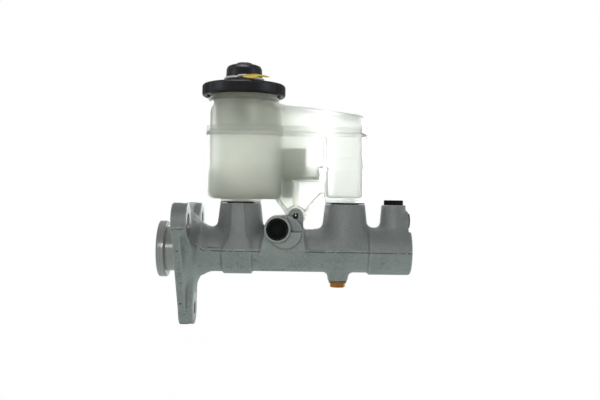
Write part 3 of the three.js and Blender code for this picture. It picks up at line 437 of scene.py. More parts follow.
def side_block(s):
    """Block of the side port with its boss, and the ears for the reservoir pin."""
    block = [(60.6, -3), (94.2, -3), (92.6, 14), (90, 20), (66, 17.5), (64, 14)]
    s.add(prism("y", block, -17.9, 13, soft=0.8), 4.5)
    s.add(rod("y", 79.2, 14.4, -23.6, 0, 11.9, 12.4, soft=0.7), 1.6)
    s.cut(slab(80.5, 99, -40, -15.4, 14.3, 34, soft=0.3), 0.7, mark=0.0)
    s.add(rod("y", SIDE_PORT_X, SIDE_PORT_Z, SIDE_PORT_FACE - 0.2, 0, 9.6, 10.2, soft=0.5), 1.0)
    stem = [(78.4, 8), (92.8, 8), (92.2, PIN_Z), (81.2, PIN_Z)]
    for y0, y1 in ((-EAR_OUTER, -EAR_INNER), (EAR_INNER, EAR_OUTER)):
        s.add(rod("y", PIN_X, PIN_Z, y0, y1, EAR_RADIUS, soft=0.5), 0.8)
        s.add(prism("y", stem, y0, y1, soft=0.5), 1.2)


def underside(s):
    """Stopper boss, worn pad on the lower half and small lumps left by the mould."""
    s.add(rod("z", STOPPER_X, 0, STOPPER_FACE - 0.9, -10, 7.3, 9.4, soft=0.4), 3.6)
    pad = rod("x", 0, 0, 32.2, 54.2, 18.35, soft=1.2)
    s.add(both(pad, slab(30, 56, -20, 20, -22, -1.8, soft=0.6), 0.8), 1.2)
    for x in (36.5, 38.3, 40.4, 45.2, 47.3, 49.2):
        s.add(ball((x, -12.9, -13.1), 0.75), 0.3)
    for x in (148.5, 150.4, 155.0):
        s.add(ball((x, -12.75, -12.6), 0.7), 0.3)


# Course of the flash over the hub: (x, distance from the bore axis, height).
HUB_FLASH = [(10.9, 25.4, 15.4), (11.2, 24.8, 10.6), (11.8, 24.2, 6.2), (13.0, 22.6, 4.6), (14.4, 20.8, 3.6),
             (15.8, 19.2, 2.8), (17.4, 18.1, 1.7), (19.8, 17.3, 0.9)]
LUG_FLASH_HEIGHT = 17.4


def parting_line(s, side):
    """Fine bead where the mould halves met, on one side of the body; it climbs over the hub to the lug."""
    s.add(link((19.8, side * 17.2, 1.2), (66, side * 16.6, 0), 0.6), 0.3)
    s.add(link((94, side * 16.6, 0), (141, side * 16.5, 0), 0.55), 0.3)
    s.add(link((142.5, side * 17.9, 0), (171.5, side * 17.8, 0), 0.5), 0.3)
    ridge = [(x, side * math.sqrt(r * r - z * z), z) for x, r, z in HUB_FLASH]
    for start, end in zip(ridge, ridge[1:]):
        s.add(link(start, end, 0.62), 0.3)
    s.add(link((0.5, side * 49.5, LUG_FLASH_HEIGHT), (10.4, side * 49.5, LUG_FLASH_HEIGHT), 0.5), 0.3)


def hub_lumps(s):
    """Lumps of flash where the hub meets the lower arm."""
    for x, z, r in ((10.8, -21.6, 1.3), (12.4, -20.6, 1.0), (13.6, -19.2, 0.8), (11.6, -19.6, 1.2)):
        s.add(ball((x, -9.0, z), r), 0.5)


def oval_recess(s):
    """Shallow recess under the barrel, on the near side."""
    s.cut(link((63, -7.2, -16.0), (77, -7.2, -16.0), 2.6), 0.4, mark=0.0)


# Pits along the flange edge: (share of the way from the upper to the lower lug, x, radius).
EDGE_PITS = [(0.24, 3.2, 0.7), (0.31, 2.2, 0.5), (0.37, 4.0, 0.45), (0.44, 3.0, 0.6), (0.52, 2.4, 0.5),
             (0.60, 3.8, 0.55), (0.84, 2.4, 0.9), (0.93, 6.4, 0.8), (0.96, 4.6, 0.6)]


def edge_pits(s):
    """Casting pits along the near edge of the flange."""
    (y0, z0), (y1, z1) = LUGS[2], LUGS[0]
    reach = math.hypot(y1 - y0, z1 - z0)
    out_y, out_z = (z1 - z0) / reach * LUG_RADIUS, -(y1 - y0) / reach * LUG_RADIUS
    for share, x, r in EDGE_PITS:
        y, z = y0 + (y1 - y0) * share + out_y, z0 + (z1 - z0) * share + out_z
        s.cut(ball((x, y, z), r), 0.3, mark=0.0)


def machined_faces(s):
    """Booster face, spigot, tower tops, port faces, stud holes and the slot between the ears."""
    s.cut(slab(-60, 0.0, -60, 60, -70, 50), 0.3)
    s.add(rod("x", 0, 0, -10.6, 1, NECK_RADIUS, soft=0.1), 0.3, mark=1.0)
    s.add(rod("x", 0, 0, SPIGOT_END, SPIGOT_FRONT, SPIGOT_RADIUS, soft=0.9), 0.4, mark=1.0)
    s.cut(slab(30, 180, -30, 30, TOWER_TOP, 60), 0.5)
    s.cut(slab(60, 90, -60, SIDE_PORT_FACE, 0, 40), 0.4, mark=0.45)
    s.cut(slab(FORWARD_PORT_FACE, 190, -9, 9, 15.0, 45), 0.4)
    s.cut(slab(105, 133, -12, 12, -40, STOPPER_FACE), 0.4)
    for y, z in LUGS:
        s.cut(rod("x", y, z, LUG_THICKNESS - 0.1, 20, 12.4), 0.4)
        s.cut(rod("x", y, z, -5, 20, STUD_HOLE_RADIUS), 0.5, mark=0.0)
    s.cut(slab(80, 100, -EAR_INNER, EAR_INNER, 16.2, 40), 0.5)


def bore(s):
    """Bore, its mouth and the groove of the snap ring."""
    s.cut(rod("x", 0, 0, -30, MOUTH_FLOOR, MOUTH_RADIUS), 0.4)
    s.cut(rod("x", 0, 0, -14.3, -12.9, 14.4), 0.1)
    s.cut(rod("x", 0, 0, -20, BORE_END, BORE_RADIUS), 0.2)


def ports(s):
    """Pockets in the towers, plug recesses, port holes, drillings, stopper hole and pin hole."""
    for x in (REAR_TOWER_X, FRONT_TOWER_X):
        s.cut(rod("z", x, 0, TOWER_POCKET_FLOOR, 50, TOWER_POCKET_RADIUS), 0.4)
    s.cut(rod("y", SIDE_PORT_X, SIDE_PORT_Z, -40, SIDE_PORT_FACE + 0.7, PLUG_RECESS_RADIUS), 0.25)
    s.cut(rod("z", TOP_PORT_X, 0, TOWER_TOP - 0.7, 50, PLUG_RECESS_RADIUS), 0.25)
    s.cut(rod("x", 0, FORWARD_PORT_Z, FORWARD_PORT_FACE - 0.7, 190, 6.1), 0.25)
    s.cut(rod("y", SIDE_PORT_X, SIDE_PORT_Z, -40, -14, PORT_RADIUS), 0.5)
    s.cut(link((SIDE_PORT_X, -15, SIDE_PORT_Z), (74.5, -3, 8.6), DRILLING_RADIUS), 0.2)
    s.cut(rod("z", TOP_PORT_X, 0, 22.2, 50, PORT_RADIUS), 0.5)
    s.cut(rod("z", TOP_PORT_X, 0, 8, 24, DRILLING_RADIUS), 0.2)
    s.cut(rod("x", 0, FORWARD_PORT_Z, 168, 190, 3.5), 0.4)
    s.cut(rod("z", STOPPER_X, 0, -40, -12.6, 4.3), 0.4)
    s.cut(rod("z", STOPPER_X, 0, -14, -8, 2.9), 0.2)
    s.cut(rod("y", PIN_X, PIN_Z, -20, 20, PIN_RADIUS + 0.15), 0.4)


def casting():
    s = Solid()
    barrel(s)
    flange(s)
    towers(s)
    front_end(s)
    side_block(s)
    underside(s)
    for side in (-1, 1):
        parting_line(s, side)
    hub_lumps(s)
    oval_recess(s)
    edge_pits(s)
    machined_faces(s)
    bore(s)
    ports(s)
    return s


def cast_piece():
    """The casting as a mesh, with its machined surfaces marked for the finish."""
    body = casting()
    step = BODY_STEP
    points, quads = body.mesh((-19, -55, -60), (177, 55, 40), step)
    _, machined = body.at(points, marks=True)
    ob = to_object("cast_body", points, quads, {"machined": machined})
    return wear(ob, "housing", ["cylinder_body"], "cast_aluminium")


# ---------- turned pieces

def round_corners(profile, radius, steps=3):
    """Replaces the corners of an (along, radius) profile that are off the axis with short arcs."""
    closed = profile[0][1] > 0
    out = []
    n = len(profile)
    for i, p in enumerate(profile):
        p = np.array(p, float)
        if not closed and i in (0, n - 1):
            out.append(tuple(p))
            continue
        a, b = np.array(profile[i - 1], float) - p, np.array(profile[(i + 1) % n], float) - p
        r = min(radius, 0.45 * np.linalg.norm(a), 0.45 * np.linalg.norm(b))
        a, b = p + a / np.linalg.norm(a) * r, p + b / np.linalg.norm(b) * r
        for t in np.linspace(0, 1, steps + 1):
            out.append(tuple((1 - t) ** 2 * a + 2 * t * (1 - t) * p + t * t * b))
    return out


def spin(name, profile, axis="z", centre=(0, 0, 0), count=96, soft=0.25, ripple=None):
    """Turns a profile of (along, radius) pairs about an axis; ripple reshapes the radii."""
    closed = profile[0][1] > 0
    ring = round_corners(profile, soft) if soft else list(profile)
    h, r = np.array(ring).T
    angle = np.arange(count) / count * 2 * math.pi
    angles, hs = np.meshgrid(angle, h, indexing="ij")
    rs = np.repeat(r[None, :], count, 0)
    if ripple:
        rs = ripple(angles, hs, rs)
    a, b = rs * np.cos(angles), rs * np.sin(angles)
    x, y, z = {"x": (hs, a, b), "y": (b, hs, a), "z": (a, b, hs)}[axis]
    points = np.stack([x, y, z], -1).reshape(-1, 3) + np.array(centre)
    m = len(ring)
    i, j = np.meshgrid(np.arange(count), np.arange(m if closed else m - 1), indexing="ij")
    i2, j2 = (i + 1) % count, (j + 1) % m
    quads = np.stack([i * m + j, i2 * m + j, i2 * m + j2, i * m + j2], -1).reshape(-1, 4)
    ob = to_object(name, points, quads)
    tidy(ob)
    return ob


@contextmanager
def editing(ob):
    """The object's mesh as a bmesh, written back at the end."""
    bm = bmesh.new()
    bm.from_mesh(ob.data)
    yield bm
    bm.to_mesh(ob.data)
    bm.free()


def tidy(ob, distance=1e-6):
    """Welds doubled vertices and turns all faces outwards."""
    with editing(ob) as bm:
        bmesh.ops.remove_doubles(bm, verts=bm.verts, dist=distance)
        bmesh.ops.recalc_face_normals(bm, faces=bm.faces)
        for f in bm.faces:
            f.smooth = True


def tube_quads(rows, m):
    """Faces between neighbouring rings of m points."""
    return [(i * m + j, i * m + (j + 1) % m, (i + 1) * m + (j + 1) % m, (i + 1) * m + j)
            for i in range(rows - 1) for j in range(m)]


def net(name, solid, low, high, step, mark=False):
    p, q = solid.mesh(low, high, step * (1))
    extra = {"machined": solid.at(p, marks=True)[1]} if mark else None
    return to_object(name, p, q, extra)


# ---------- reservoir

WALL = 2.1
TANK_FLOOR, TROUGH_FLOOR = 38.2, 52.8
WELD_BOTTOM, WELD_TOP = 85.2, 92.2
WELD_MIDDLE = (WELD_BOTTOM + WELD_TOP) / 2
SPLIT, HALF_GAP = 88.0, 0.08
FILLER_X, FILLER_RADIUS, FILLER_TOP = 46, 24.2, 119
REAR_CORNER, FRONT_CORNER = 13, 8
POST_X, POST_Y = 80.4, 7


def rectangle(x0, x1, half_width):
    return [(x0, -half_width), (x1, -half_width), (x1, half_width), (x0, half_width)]


REAR_PLAN = rectangle(34, 62.2, 15)


def tank_shapes(inset):
    """Chambers of the reservoir, shrunk by inset for the inner wall."""
    i = inset
    rear = prism("z", REAR_PLAN, TANK_FLOOR + i, 109.5 - i, grow=REAR_CORNER - i, soft=5 - 0.6 * i)
    plan = prism("z", rectangle(66, 130.3, 9), 30, 130, grow=FRONT_CORNER - i)
    profile = [(58, 61 + i), (138.3 - i, 61 + i), (138.3 - i, 98.5 - i), (134.5 - i, 101.3 - i),
               (90, 107.4 - i), (76, 108.8 - i), (58, 108.8 - i)]
    front = both(plan, prism("y", profile, -40, 40), 3.0)
    trough = prism("z", rectangle(60, 100.6, 12), TROUGH_FLOOR + i, 66, grow=5 - i, soft=3.6 - i)
    leg = prism("z", rectangle(116.5, 130.3, 9), TANK_FLOOR + i, 70, grow=FRONT_CORNER - i, soft=2.6)
    return rear, front, trough, leg


def filler_neck(s):
    """Shoulder, neck and the two thread beads."""
    s.add(rod("z", FILLER_X, 0, 103, 110.2, 27.3, 27.0, soft=0.6), 0.4)
    s.add(rod("z", FILLER_X, 0, 104, FILLER_TOP, FILLER_RADIUS, soft=0.5), 1.2)
    s.add(rod("z", FILLER_X, 0, 112.1, 114.3, 27.0, soft=0.8), 0.4)
    s.add(rod("z", FILLER_X, 0, 116.4, 117.8, 25.7, soft=0.5), 0.4)


def weld_band(s):
    s.add(prism("z", REAR_PLAN, WELD_BOTTOM, WELD_TOP, grow=REAR_CORNER + 1.3, soft=0.6), 0.5)
    front = rectangle(60, 130.3, 9)
    s.add(prism("z", front, WELD_BOTTOM, WELD_TOP, grow=FRONT_CORNER + 0.7, soft=0.5), 0.5)


def collars(s):
    """Collars that rest on the grommets and nipples that go through them."""
    for x, r in ((REAR_TOWER_X, 15.3), (FRONT_TOWER_X, 15.2)):
        s.add(rod("z", x, 0, 36.5, 39.4, r, soft=0.5), 0.8)
        s.add(rod("z", x, 0, 24.6, 40, 8.6, soft=0.5), 0.6)


def hollow(s):
    """Inside of the chambers, with the partition between the circuits and a guide rib for the float."""
    for shape in tank_shapes(WALL):
        s.cut(shape, 1.2, mark=0.0)
    s.cut(rod("z", FILLER_X, 0, 98, 130, 22.0), 0.8, mark=0.0)
    s.add(slab(107.2, 109.0, -15.6, 15.6, 60, 84.7, soft=0.3), 0.8)
    s.add(slab(91.6, 93.4, -15.6, -12.5, 68, 84.7, soft=0.3), 0.8)
    for x in (REAR_TOWER_X, FRONT_TOWER_X):
        s.cut(rod("z", x, 0, 20, 42, 6.4), 0.8, mark=0.0)


def bracket(s):
    """Web with three ribs under the trough, and the tongue that sits between the ears."""
    web = [(73, 40), (82, 28), (91, 28), (101.6, 37.5), (109.5, 41), (109.5, 52), (104, 56), (73, 55)]
    rear_rib = [(70.2, 39.2), (73.4, 39.2), (83.8, 26), (80.6, 24.8)]
    front_rib = [(92.6, 24.8), (89.4, 26), (104.6, 43.4), (108.8, 43.4)]
    s.add(prism("y", web, -0.9, 0.9, soft=0.3), 0.8)
    s.add(prism("y", rear_rib, -3.4, 3.4, soft=0.5), 0.8)
    s.add(prism("y", front_rib, -3.4, 3.4, soft=0.5), 0.8)
    s.add(slab(85.1, 88.1, -3.4, 3.4, 27, 54, soft=0.5), 0.8)
    s.add(rod("y", PIN_X, PIN_Z, -3.8, 3.8, 7.3, soft=0.5), 0.6)
    s.cut(rod("y", PIN_X, PIN_Z, -6, 6, PIN_RADIUS + 0.25), 0.3, mark=0.0)


def tank():
    s = Solid()
    rear, front, trough, leg = tank_shapes(0)
    s.add(rear, 0).add(front, 3).add(trough, 1.5).add(leg, 1.5)
    filler_neck(s)
    weld_band(s)
    collars(s)
    hollow(s)
    bracket(s)
    # guide post of the float, open from below
    s.add(rod("z", POST_X, POST_Y, 53, 76, 4.4, soft=0.4), 0.6)
    s.cut(rod("z", POST_X, POST_Y, 45, 73.6, 3.2), 0.3, mark=0.0)
    return s


def tank_half(name, z0, z1, low, high, node):
    """One moulding of the reservoir: the whole tank without what lies between z0 and z1."""
    half = Solid()
    half.steps = tank().steps + [("cut", slab(0, 160, -60, 60, z0, z1), 0.2, 0.0)]
    return wear(net(name, half, low, high, TANK_STEP), "housing", [node], "reservoir_plastic")


# ---------- cap, strap and tag

CAP_RADIUS, CAP_BOTTOM, CAP_TOP = 31.5, 115.4, 141.4
KNOB_RADIUS = 13.8


def grip(angle, h, r):
    """Grip ribs in two zones of the rim, left and right."""
    zone = np.clip((np.abs(np.cos(angle)) - 0.72) * 8, 0, 1)
    rim = np.clip((r - 30.2) * 2, 0, 1) * np.clip((h - 116.0) * 1.5, 0, 1) * np.clip((124.2 - h) * 1.5, 0, 1)
    wave = np.clip(np.cos(angle * 72) * 1.6, -1, 1) * 0.5 - 0.5
    return r + 1.3 * wave * zone * rim


def cap():
    """Cap with a ribbed rim, a shallow cone and a knob with a button; profiles are (height, radius)."""
    inner = [(137.2, 0), (137, 9), (136, 10.6), (126, 11.4), (124, 13), (122.8, 27.9), (118, 28)]
    rim = [(116.4, 28.2), (CAP_BOTTOM, 28.8), (CAP_BOTTOM, 30.4), (116.4, 31.4), (118, CAP_RADIUS),
           (120, CAP_RADIUS), (122, CAP_RADIUS), (123.2, 31.4), (124.3, 30.4)]
    knob = [(125.6, 24), (127.0, 16.0), (127.4, 14.0), (129, KNOB_RADIUS), (132, KNOB_RADIUS - 0.1),
            (136.2, 13.5), (138.4, 12.4), (139.5, 9.8)]
    button = [(139.6, 6.1), (141.1, 5.8), (CAP_TOP, 3), (CAP_TOP, 0)]
    profile = inner + rim + knob + button
    count = 768
    return spin("cap", profile, centre=(FILLER_X, 0, 0), count=count, soft=0.45, ripple=grip)


def sweep(name, path, section, up=(0, 0, 1)):
    """Carries a section of (sideways, up) pairs along a path, with closed ends."""
    path = np.array(path, float)
    t = np.gradient(path, axis=0)
    t /= np.linalg.norm(t, axis=1, keepdims=True)
    side = np.cross(t, np.array(up, float))
    side /= np.linalg.norm(side, axis=1, keepdims=True)
    lift = np.cross(side, t)
    m = len(section)
    points = np.concatenate([path + side * a + lift * b for a, b in section]).reshape(m, -1, 3)
    points = points.transpose(1, 0, 2).reshape(-1, 3)
    ob = to_object(name, points, tube_quads(len(path), m))
    with editing(ob) as bm:
        bmesh.ops.holes_fill(bm, edges=[e for e in bm.edges if e.is_boundary], sides=0)
    tidy(ob)
    return ob


def strap():
    """Loop around the foot of the knob with a tail that reaches out to the tag on the near side."""
    turns = np.linspace(math.radians(-84), math.radians(262), 90)
    loop_radius, height = 14.9, 128.5
    path = [(FILLER_X + loop_radius * math.cos(t), loop_radius * math.sin(t), height + 0.3 * math.sin(2 * t))
            for t in turns]
    tail = [(43.0, -16.0, 128.6), (42.9, -18.2, 128.7), (44.2, -20.6, 128.6), (47.4, -22.6, 128.5),
            (50.0, -23.6, 128.3)]
    section = [(-0.35, -0.9), (0.35, -0.9), (0.45, 0), (0.35, 0.9), (-0.35, 0.9), (-0.45, 0)]
    return sweep("strap", path + tail, section)


TAG_LENGTH, TAG_THICKNESS, TAG_ROWS = 19.2, 0.45, 9
TAG_START = (47.0, -22.6, 129.2)
TAG_TOP_EDGE = [(0.0, 2.0), (1.2, 3.0), (3.5, 3.0), (7.5, 2.6), (10.6, 1.9), (12, 1.7), (16.5, 1.6),
                (TAG_LENGTH, 0.5)]
TAG_LOW_EDGE = [(0.0, -0.6), (1.2, -1.2), (3.5, -1.8), (7.5, -2.7), (10.6, -1.7), (12, -0.6), (16.5, -0.5),
                (TAG_LENGTH, 0.3)]


def tag_point(x, v, side):
    """Place of a point x along the tag, v across it and side into its thickness; its far edge sags."""
    out = (3.0 - v) * 1.5
    sag = 0.035 * out * out * 0.3 + 0.25 * math.sin(x * 0.45) + 0.02 * (x - 8) ** 2 * 0.2
    x0, y0, z0 = TAG_START
    return (x0 + x, y0 - out - 0.35 * side, z0 - out * 0.42 - sag + side)


def sheet_quads(n, rows):
    """Faces of a closed sheet of two n by rows grids: both sides, the long edges, the ends."""
    o = n * rows
    starts = [s * o + i * rows + j for s in (0, 1) for i in range(n - 1) for j in range(rows - 1)]
    quads = [(k, k + 1, k + rows + 1, k + rows) for k in starts]
    for i in range(n - 1):
        for k in (i * rows, i * rows + rows - 1):
            quads.append((k, k + rows, k + rows + o, k + o))
    for i in (0, n - 1):
        for k in range(i * rows, i * rows + rows - 1):
            quads.append((k, k + 1, k + 1 + o, k + o))
    return quads


def tag():
    """Thin label with a broad end, a narrow pointed tail and a gentle drape around the knob."""
    xs = np.linspace(0, TAG_LENGTH, 49)
    top, low = np.interp(xs, *zip(*TAG_TOP_EDGE)), np.interp(xs, *zip(*TAG_LOW_EDGE))
    points = [tag_point(x, v, side) for side in (0.0, TAG_THICKNESS) for x, a, b in zip(xs, top, low)
              for v in np.linspace(b, a, TAG_ROWS)]
    ob = to_object("tag", points, sheet_quads(len(xs), TAG_ROWS))
    tidy(ob)
    return ob


def diaphragm():
    """Rubber seal under the cap, with a bellows fold around its middle."""
    profile = [(123, 0), (123, 9.6), (121, 13.4), (121, 14.6), (122, 16.4), (122, 25.2), (120.4, 25.2),
               (120.4, 18), (119.2, 15), (119.2, 12), (121.9, 9), (121.9, 0)]
    return spin("cap_diaphragm", profile, centre=(FILLER_X, 0, 0), soft=0.4)


# ---------- small parts outside the casting

BAR_SLANT = Matrix.Rotation(math.radians(40), 4, "Z")
BAR_WIDTH, BAR_SPACING, BAR_EDGE = 0.22, 0.55, 0.12


def raised_bars(ob, low, high, half):
    """Three moulded bars across the dished face of a plug, for the fingers to grip."""
    with editing(ob) as bm:
        for shift, share in ((-BAR_SPACING, 0.8), (0.0, 1.0), (BAR_SPACING, 0.8)):
            size = Vector((2 * half * share, BAR_WIDTH * half, high - low)) * MM
            middle = Vector((0, shift * half, (low + high) / 2)) * MM
            where = BAR_SLANT @ Matrix.Translation(middle) @ Matrix.Diagonal(size).to_4x4()
            made = bmesh.ops.create_cube(bm, size=1, matrix=where)
            edges = {e for v in made["verts"] for e in v.link_edges}
            bmesh.ops.bevel(bm, geom=list(edges), offset=BAR_EDGE * MM, segments=2, affect="EDGES")


def plug_profile(r, height, stem, depth):
    """Half outline of a plug as (along, radius): dished head, thin collar, hollow stem."""
    h = height
    head = [(h - 0.9, 0), (h - 0.9, r - 2.3), (h - 0.1, r - 1.9), (h, r - 0.6), (h - 0.3, r), (h * 0.55, r),
            (0.9, r), (0.35, r - 0.3)]
    tube = [(0.3, stem), (-depth + 0.6, stem), (-depth, stem - 0.5), (-depth, stem - 1.2),
            (-0.4, stem - 1.2), (-0.4, 0)]
    return head + tube


def shipping_plug(name, place, turn, size, ribs, body, node):
    """Moulded plug with a ribbed head; size is its head radius, head height, stem radius and stem depth."""
    r, height, stem, depth = size

    def ripple(angle, h, rad):
        on = np.clip((rad - r + 1.2) * 2, 0, 1) * np.clip((h - 0.6) * 2, 0, 1)
        return rad + on * (np.clip(np.cos(angle * ribs) * 1.5, -1, 1) * 0.28 - 0.28)
    ob = spin(name, plug_profile(*size), count=ribs * 12, soft=0.2, ripple=ripple)
    raised_bars(ob, height - 1.1, height - 0.35, 0.42 * r)
    ob.data.transform(Matrix.Translation(Vector(place) * MM) @ turn.to_4x4())
    return wear(ob, body, [node], "plug_plastic")


UPRIGHT = Matrix.Identity(3)
TO_SIDE = Matrix.Rotation(math.radians(90), 3, "X")
TO_FRONT = Matrix.Rotation(math.radians(90), 3, "Y")
PLUG_SIZE = (7.3, 4.3, 4.6, 6.3)
SMALL_PLUG_SIZE = (5.6, 2, 3.2, 2.0)


def grommet(name, x, r, node):
    """Rubber sleeve in a tower pocket, with a flange of radius r on top and a shallow groove outside."""
    profile = [(35.5, 8.9), (36.3, 8.9), (36.3, r), (35.5, r), (35.5, 10.35), (33, 10.35), (32, 9.9),
               (30, 10.35), (24.5, 10.35), (24.5, 8.9)]
    return wear(spin(name, profile, centre=(x, 0, 0), soft=0.25), "housing", [node], "seal_rubber")


HEXAGON_RADIUS = 5.95


def hex_bolt():
    """Stopper bolt: chamfered hexagon, washer face, shank and tip."""
    s = Solid()
    turns = [math.radians(a) for a in range(15, 375, 60)]
    hexagon = [(STOPPER_X + HEXAGON_RADIUS * math.cos(t), HEXAGON_RADIUS * math.sin(t)) for t in turns]
    s.add(prism("z", hexagon, -27.7, -23.8, soft=0.15), 0)
    s.keep(rod("z", STOPPER_X, 0, -28.1, -20, 4.9, 13.0), 0.15)
    s.add(rod("z", STOPPER_X, 0, -24.7, -23.75, 6.6, soft=0.25), 0.3)
    s.add(rod("z", STOPPER_X, 0, -24, -14.2, 3.9, soft=0.4), 0.3)
    s.add(rod("z", STOPPER_X, 0, -15, -8.4, 2.4, soft=0.3), 0.3)
    return net("hex_bolt", s, (111, -8, -30), (127, 8, -6), BOLT_STEP)


def gasket():
    ring = [(-23.55, 4.6), (-23.55, 7.1), (-22.75, 7.1), (-22.75, 4.6)]
    return spin("gasket", ring, centre=(STOPPER_X, 0, 0), soft=0.3)


def spring_pin():
    """Rolled pin with a lengthwise slot at the top and slightly tapered ends."""
    arc = np.linspace(math.radians(97), math.radians(443), 40)
    section = [(PIN_RADIUS * math.cos(t), PIN_RADIUS * math.sin(t)) for t in arc]
    section += [(0.65 * math.cos(t), 0.65 * math.sin(t)) for t in arc[::-1]]
    half = [(4, 1), (12.2, 1), (12.6, 0.95), (PIN_HALF_LENGTH, 0.86)]
    stations = [(-y, k) for y, k in half[::-1]] + half
    m = len(section)
    points = [(PIN_X + a * k, y, PIN_Z + b * k) for y, k in stations for a, b in section]
    quads = tube_quads(len(stations), m)
    for o in (0, (len(stations) - 1) * m):
        quads += [(o + j, o + j + 1, o + m - 2 - j, o + m - 1 - j) for j in range(m // 2 - 1)]
    ob = to_object("rolled_pin", points, quads)
    tidy(ob)
    return ob


# ---------- springs and float

WIRE_RADIUS, COIL_RADIUS, COIL_TURNS = 1.05, 7.9, 6.5
PRIMARY_SPAN = (48.2, 82.2)
SECONDARY_SPAN = (131.6, 165.2)


def coil(name, x0, x1):
    """Compression spring along X with closed end turns."""
    t = np.linspace(0, 1, int(COIL_TURNS * 36))
    end = 1 / COIL_TURNS
    rise = 2.3 / (x1 - x0)
    advance = np.interp(t, [0, end, 1 - end, 1], [0, rise, 1 - rise, 1])
    a = t * COIL_TURNS * 2 * math.pi
    along = x0 + WIRE_RADIUS + (x1 - x0 - 2 * WIRE_RADIUS) * advance
    path = np.stack([along, COIL_RADIUS * np.cos(a), COIL_RADIUS * np.sin(a)], 1)
    turns = np.linspace(0, 2 * math.pi, 13)[:-1]
    ring = [(WIRE_RADIUS * math.cos(q), WIRE_RADIUS * math.sin(q)) for q in turns]
    return sweep(name, path, ring, up=(1, 0, 0))


def spring(name, span, body, node):
    """A coil fixed to its body in place of its CAD node, with a mesh of its own."""
    start, end = span
    ob = wear(coil(name, start, end), body, [node], "spring_steel")
    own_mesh(ob)


def float_model():
    """Block with a hole for the guide post."""
    s = Solid()
    plan = [(72.7, -7), (88.7, -7), (88.7, 9), (72.7, 9)]
    s.add(prism("z", plan, 55.6, 76.6, grow=5, soft=1.6), 0)
    s.cut(rod("z", POST_X, POST_Y, 40, 90, 5.0), 0.4, mark=0.0)
    s.cut(slab(92.2, 96, -20, 20, 67.3, 70.3), 0.4, mark=0.0)
    return net("float_block", s, (65, -15, 53), (96, 17, 79), FLOAT_STEP)


# ---------- all pieces

cast_body = cast_piece()
tank_lower = tank_half("tank_lower", SPLIT - HALF_GAP, 140, (17, -33, 17), (143, 33, 91), "reservoir_lower")
tank_upper = tank_half("tank_upper", 10, SPLIT + HALF_GAP, (17, -33, 84), (143, 33, 122), "reservoir_upper")
cap_ob = wear(cap(), "cap_group", ["cap_shell"], "cap_plastic")
strap_ob = wear(strap(), "cap_group", ["tag_strap"], "strap_plastic")
tag_ob = wear(tag(), "cap_group", ["cap_tag"], "tag_plastic")
wear(diaphragm(), "seal_group", ["cap_seal"], "seal_rubber")
shipping_plug("side_plug", (SIDE_PORT_X, SIDE_PORT_FACE + 0.7, SIDE_PORT_Z), TO_SIDE, PLUG_SIZE, 24,
              "side_plug_group", "side_port_plug")
top_plug = shipping_plug("top_plug", (TOP_PORT_X, 0, TOWER_TOP - 0.7), UPRIGHT, PLUG_SIZE, 24,
                         "top_plug_group", "top_port_plug")
forward_plug = shipping_plug("forward_plug", (FORWARD_PORT_FACE - 0.7, 0, FORWARD_PORT_Z), TO_FRONT,
                             SMALL_PLUG_SIZE, 18, "forward_plug_group", "forward_port_plug")
grommet("rear_grommet", REAR_TOWER_X, 15.0, "rear_supply_grommet")
grommet("front_grommet", FRONT_TOWER_X, 14.8, "front_supply_grommet")
bolt_ob = wear(hex_bolt(), "housing", ["stopper_bolt"], "yellow_zinc")
gasket_ob = wear(gasket(), "housing", ["stopper_gasket"], "gasket_metal")
pin_ob = wear(spring_pin(), "housing", ["reservoir_pin"], "spring_steel")
spring("primary_coil", PRIMARY_SPAN, "secondary_group", "primary_spring")
spring("secondary_coil", SECONDARY_SPAN, "housing", "secondary_spring")
float_ob = wear(float_model(), "float_group", ["float"], "float_plastic")


# ---------- materials

PRINCIPLED = {"color": "Base Color", "rough": "Roughness", "metal": "Metallic", "normal": "Normal",
              "coat": "Coat Weight", "ior": "IOR", "skin": "Subsurface Weight",
              "skin_radius": "Subsurface Radius", "skin_scale": "Subsurface Scale"}


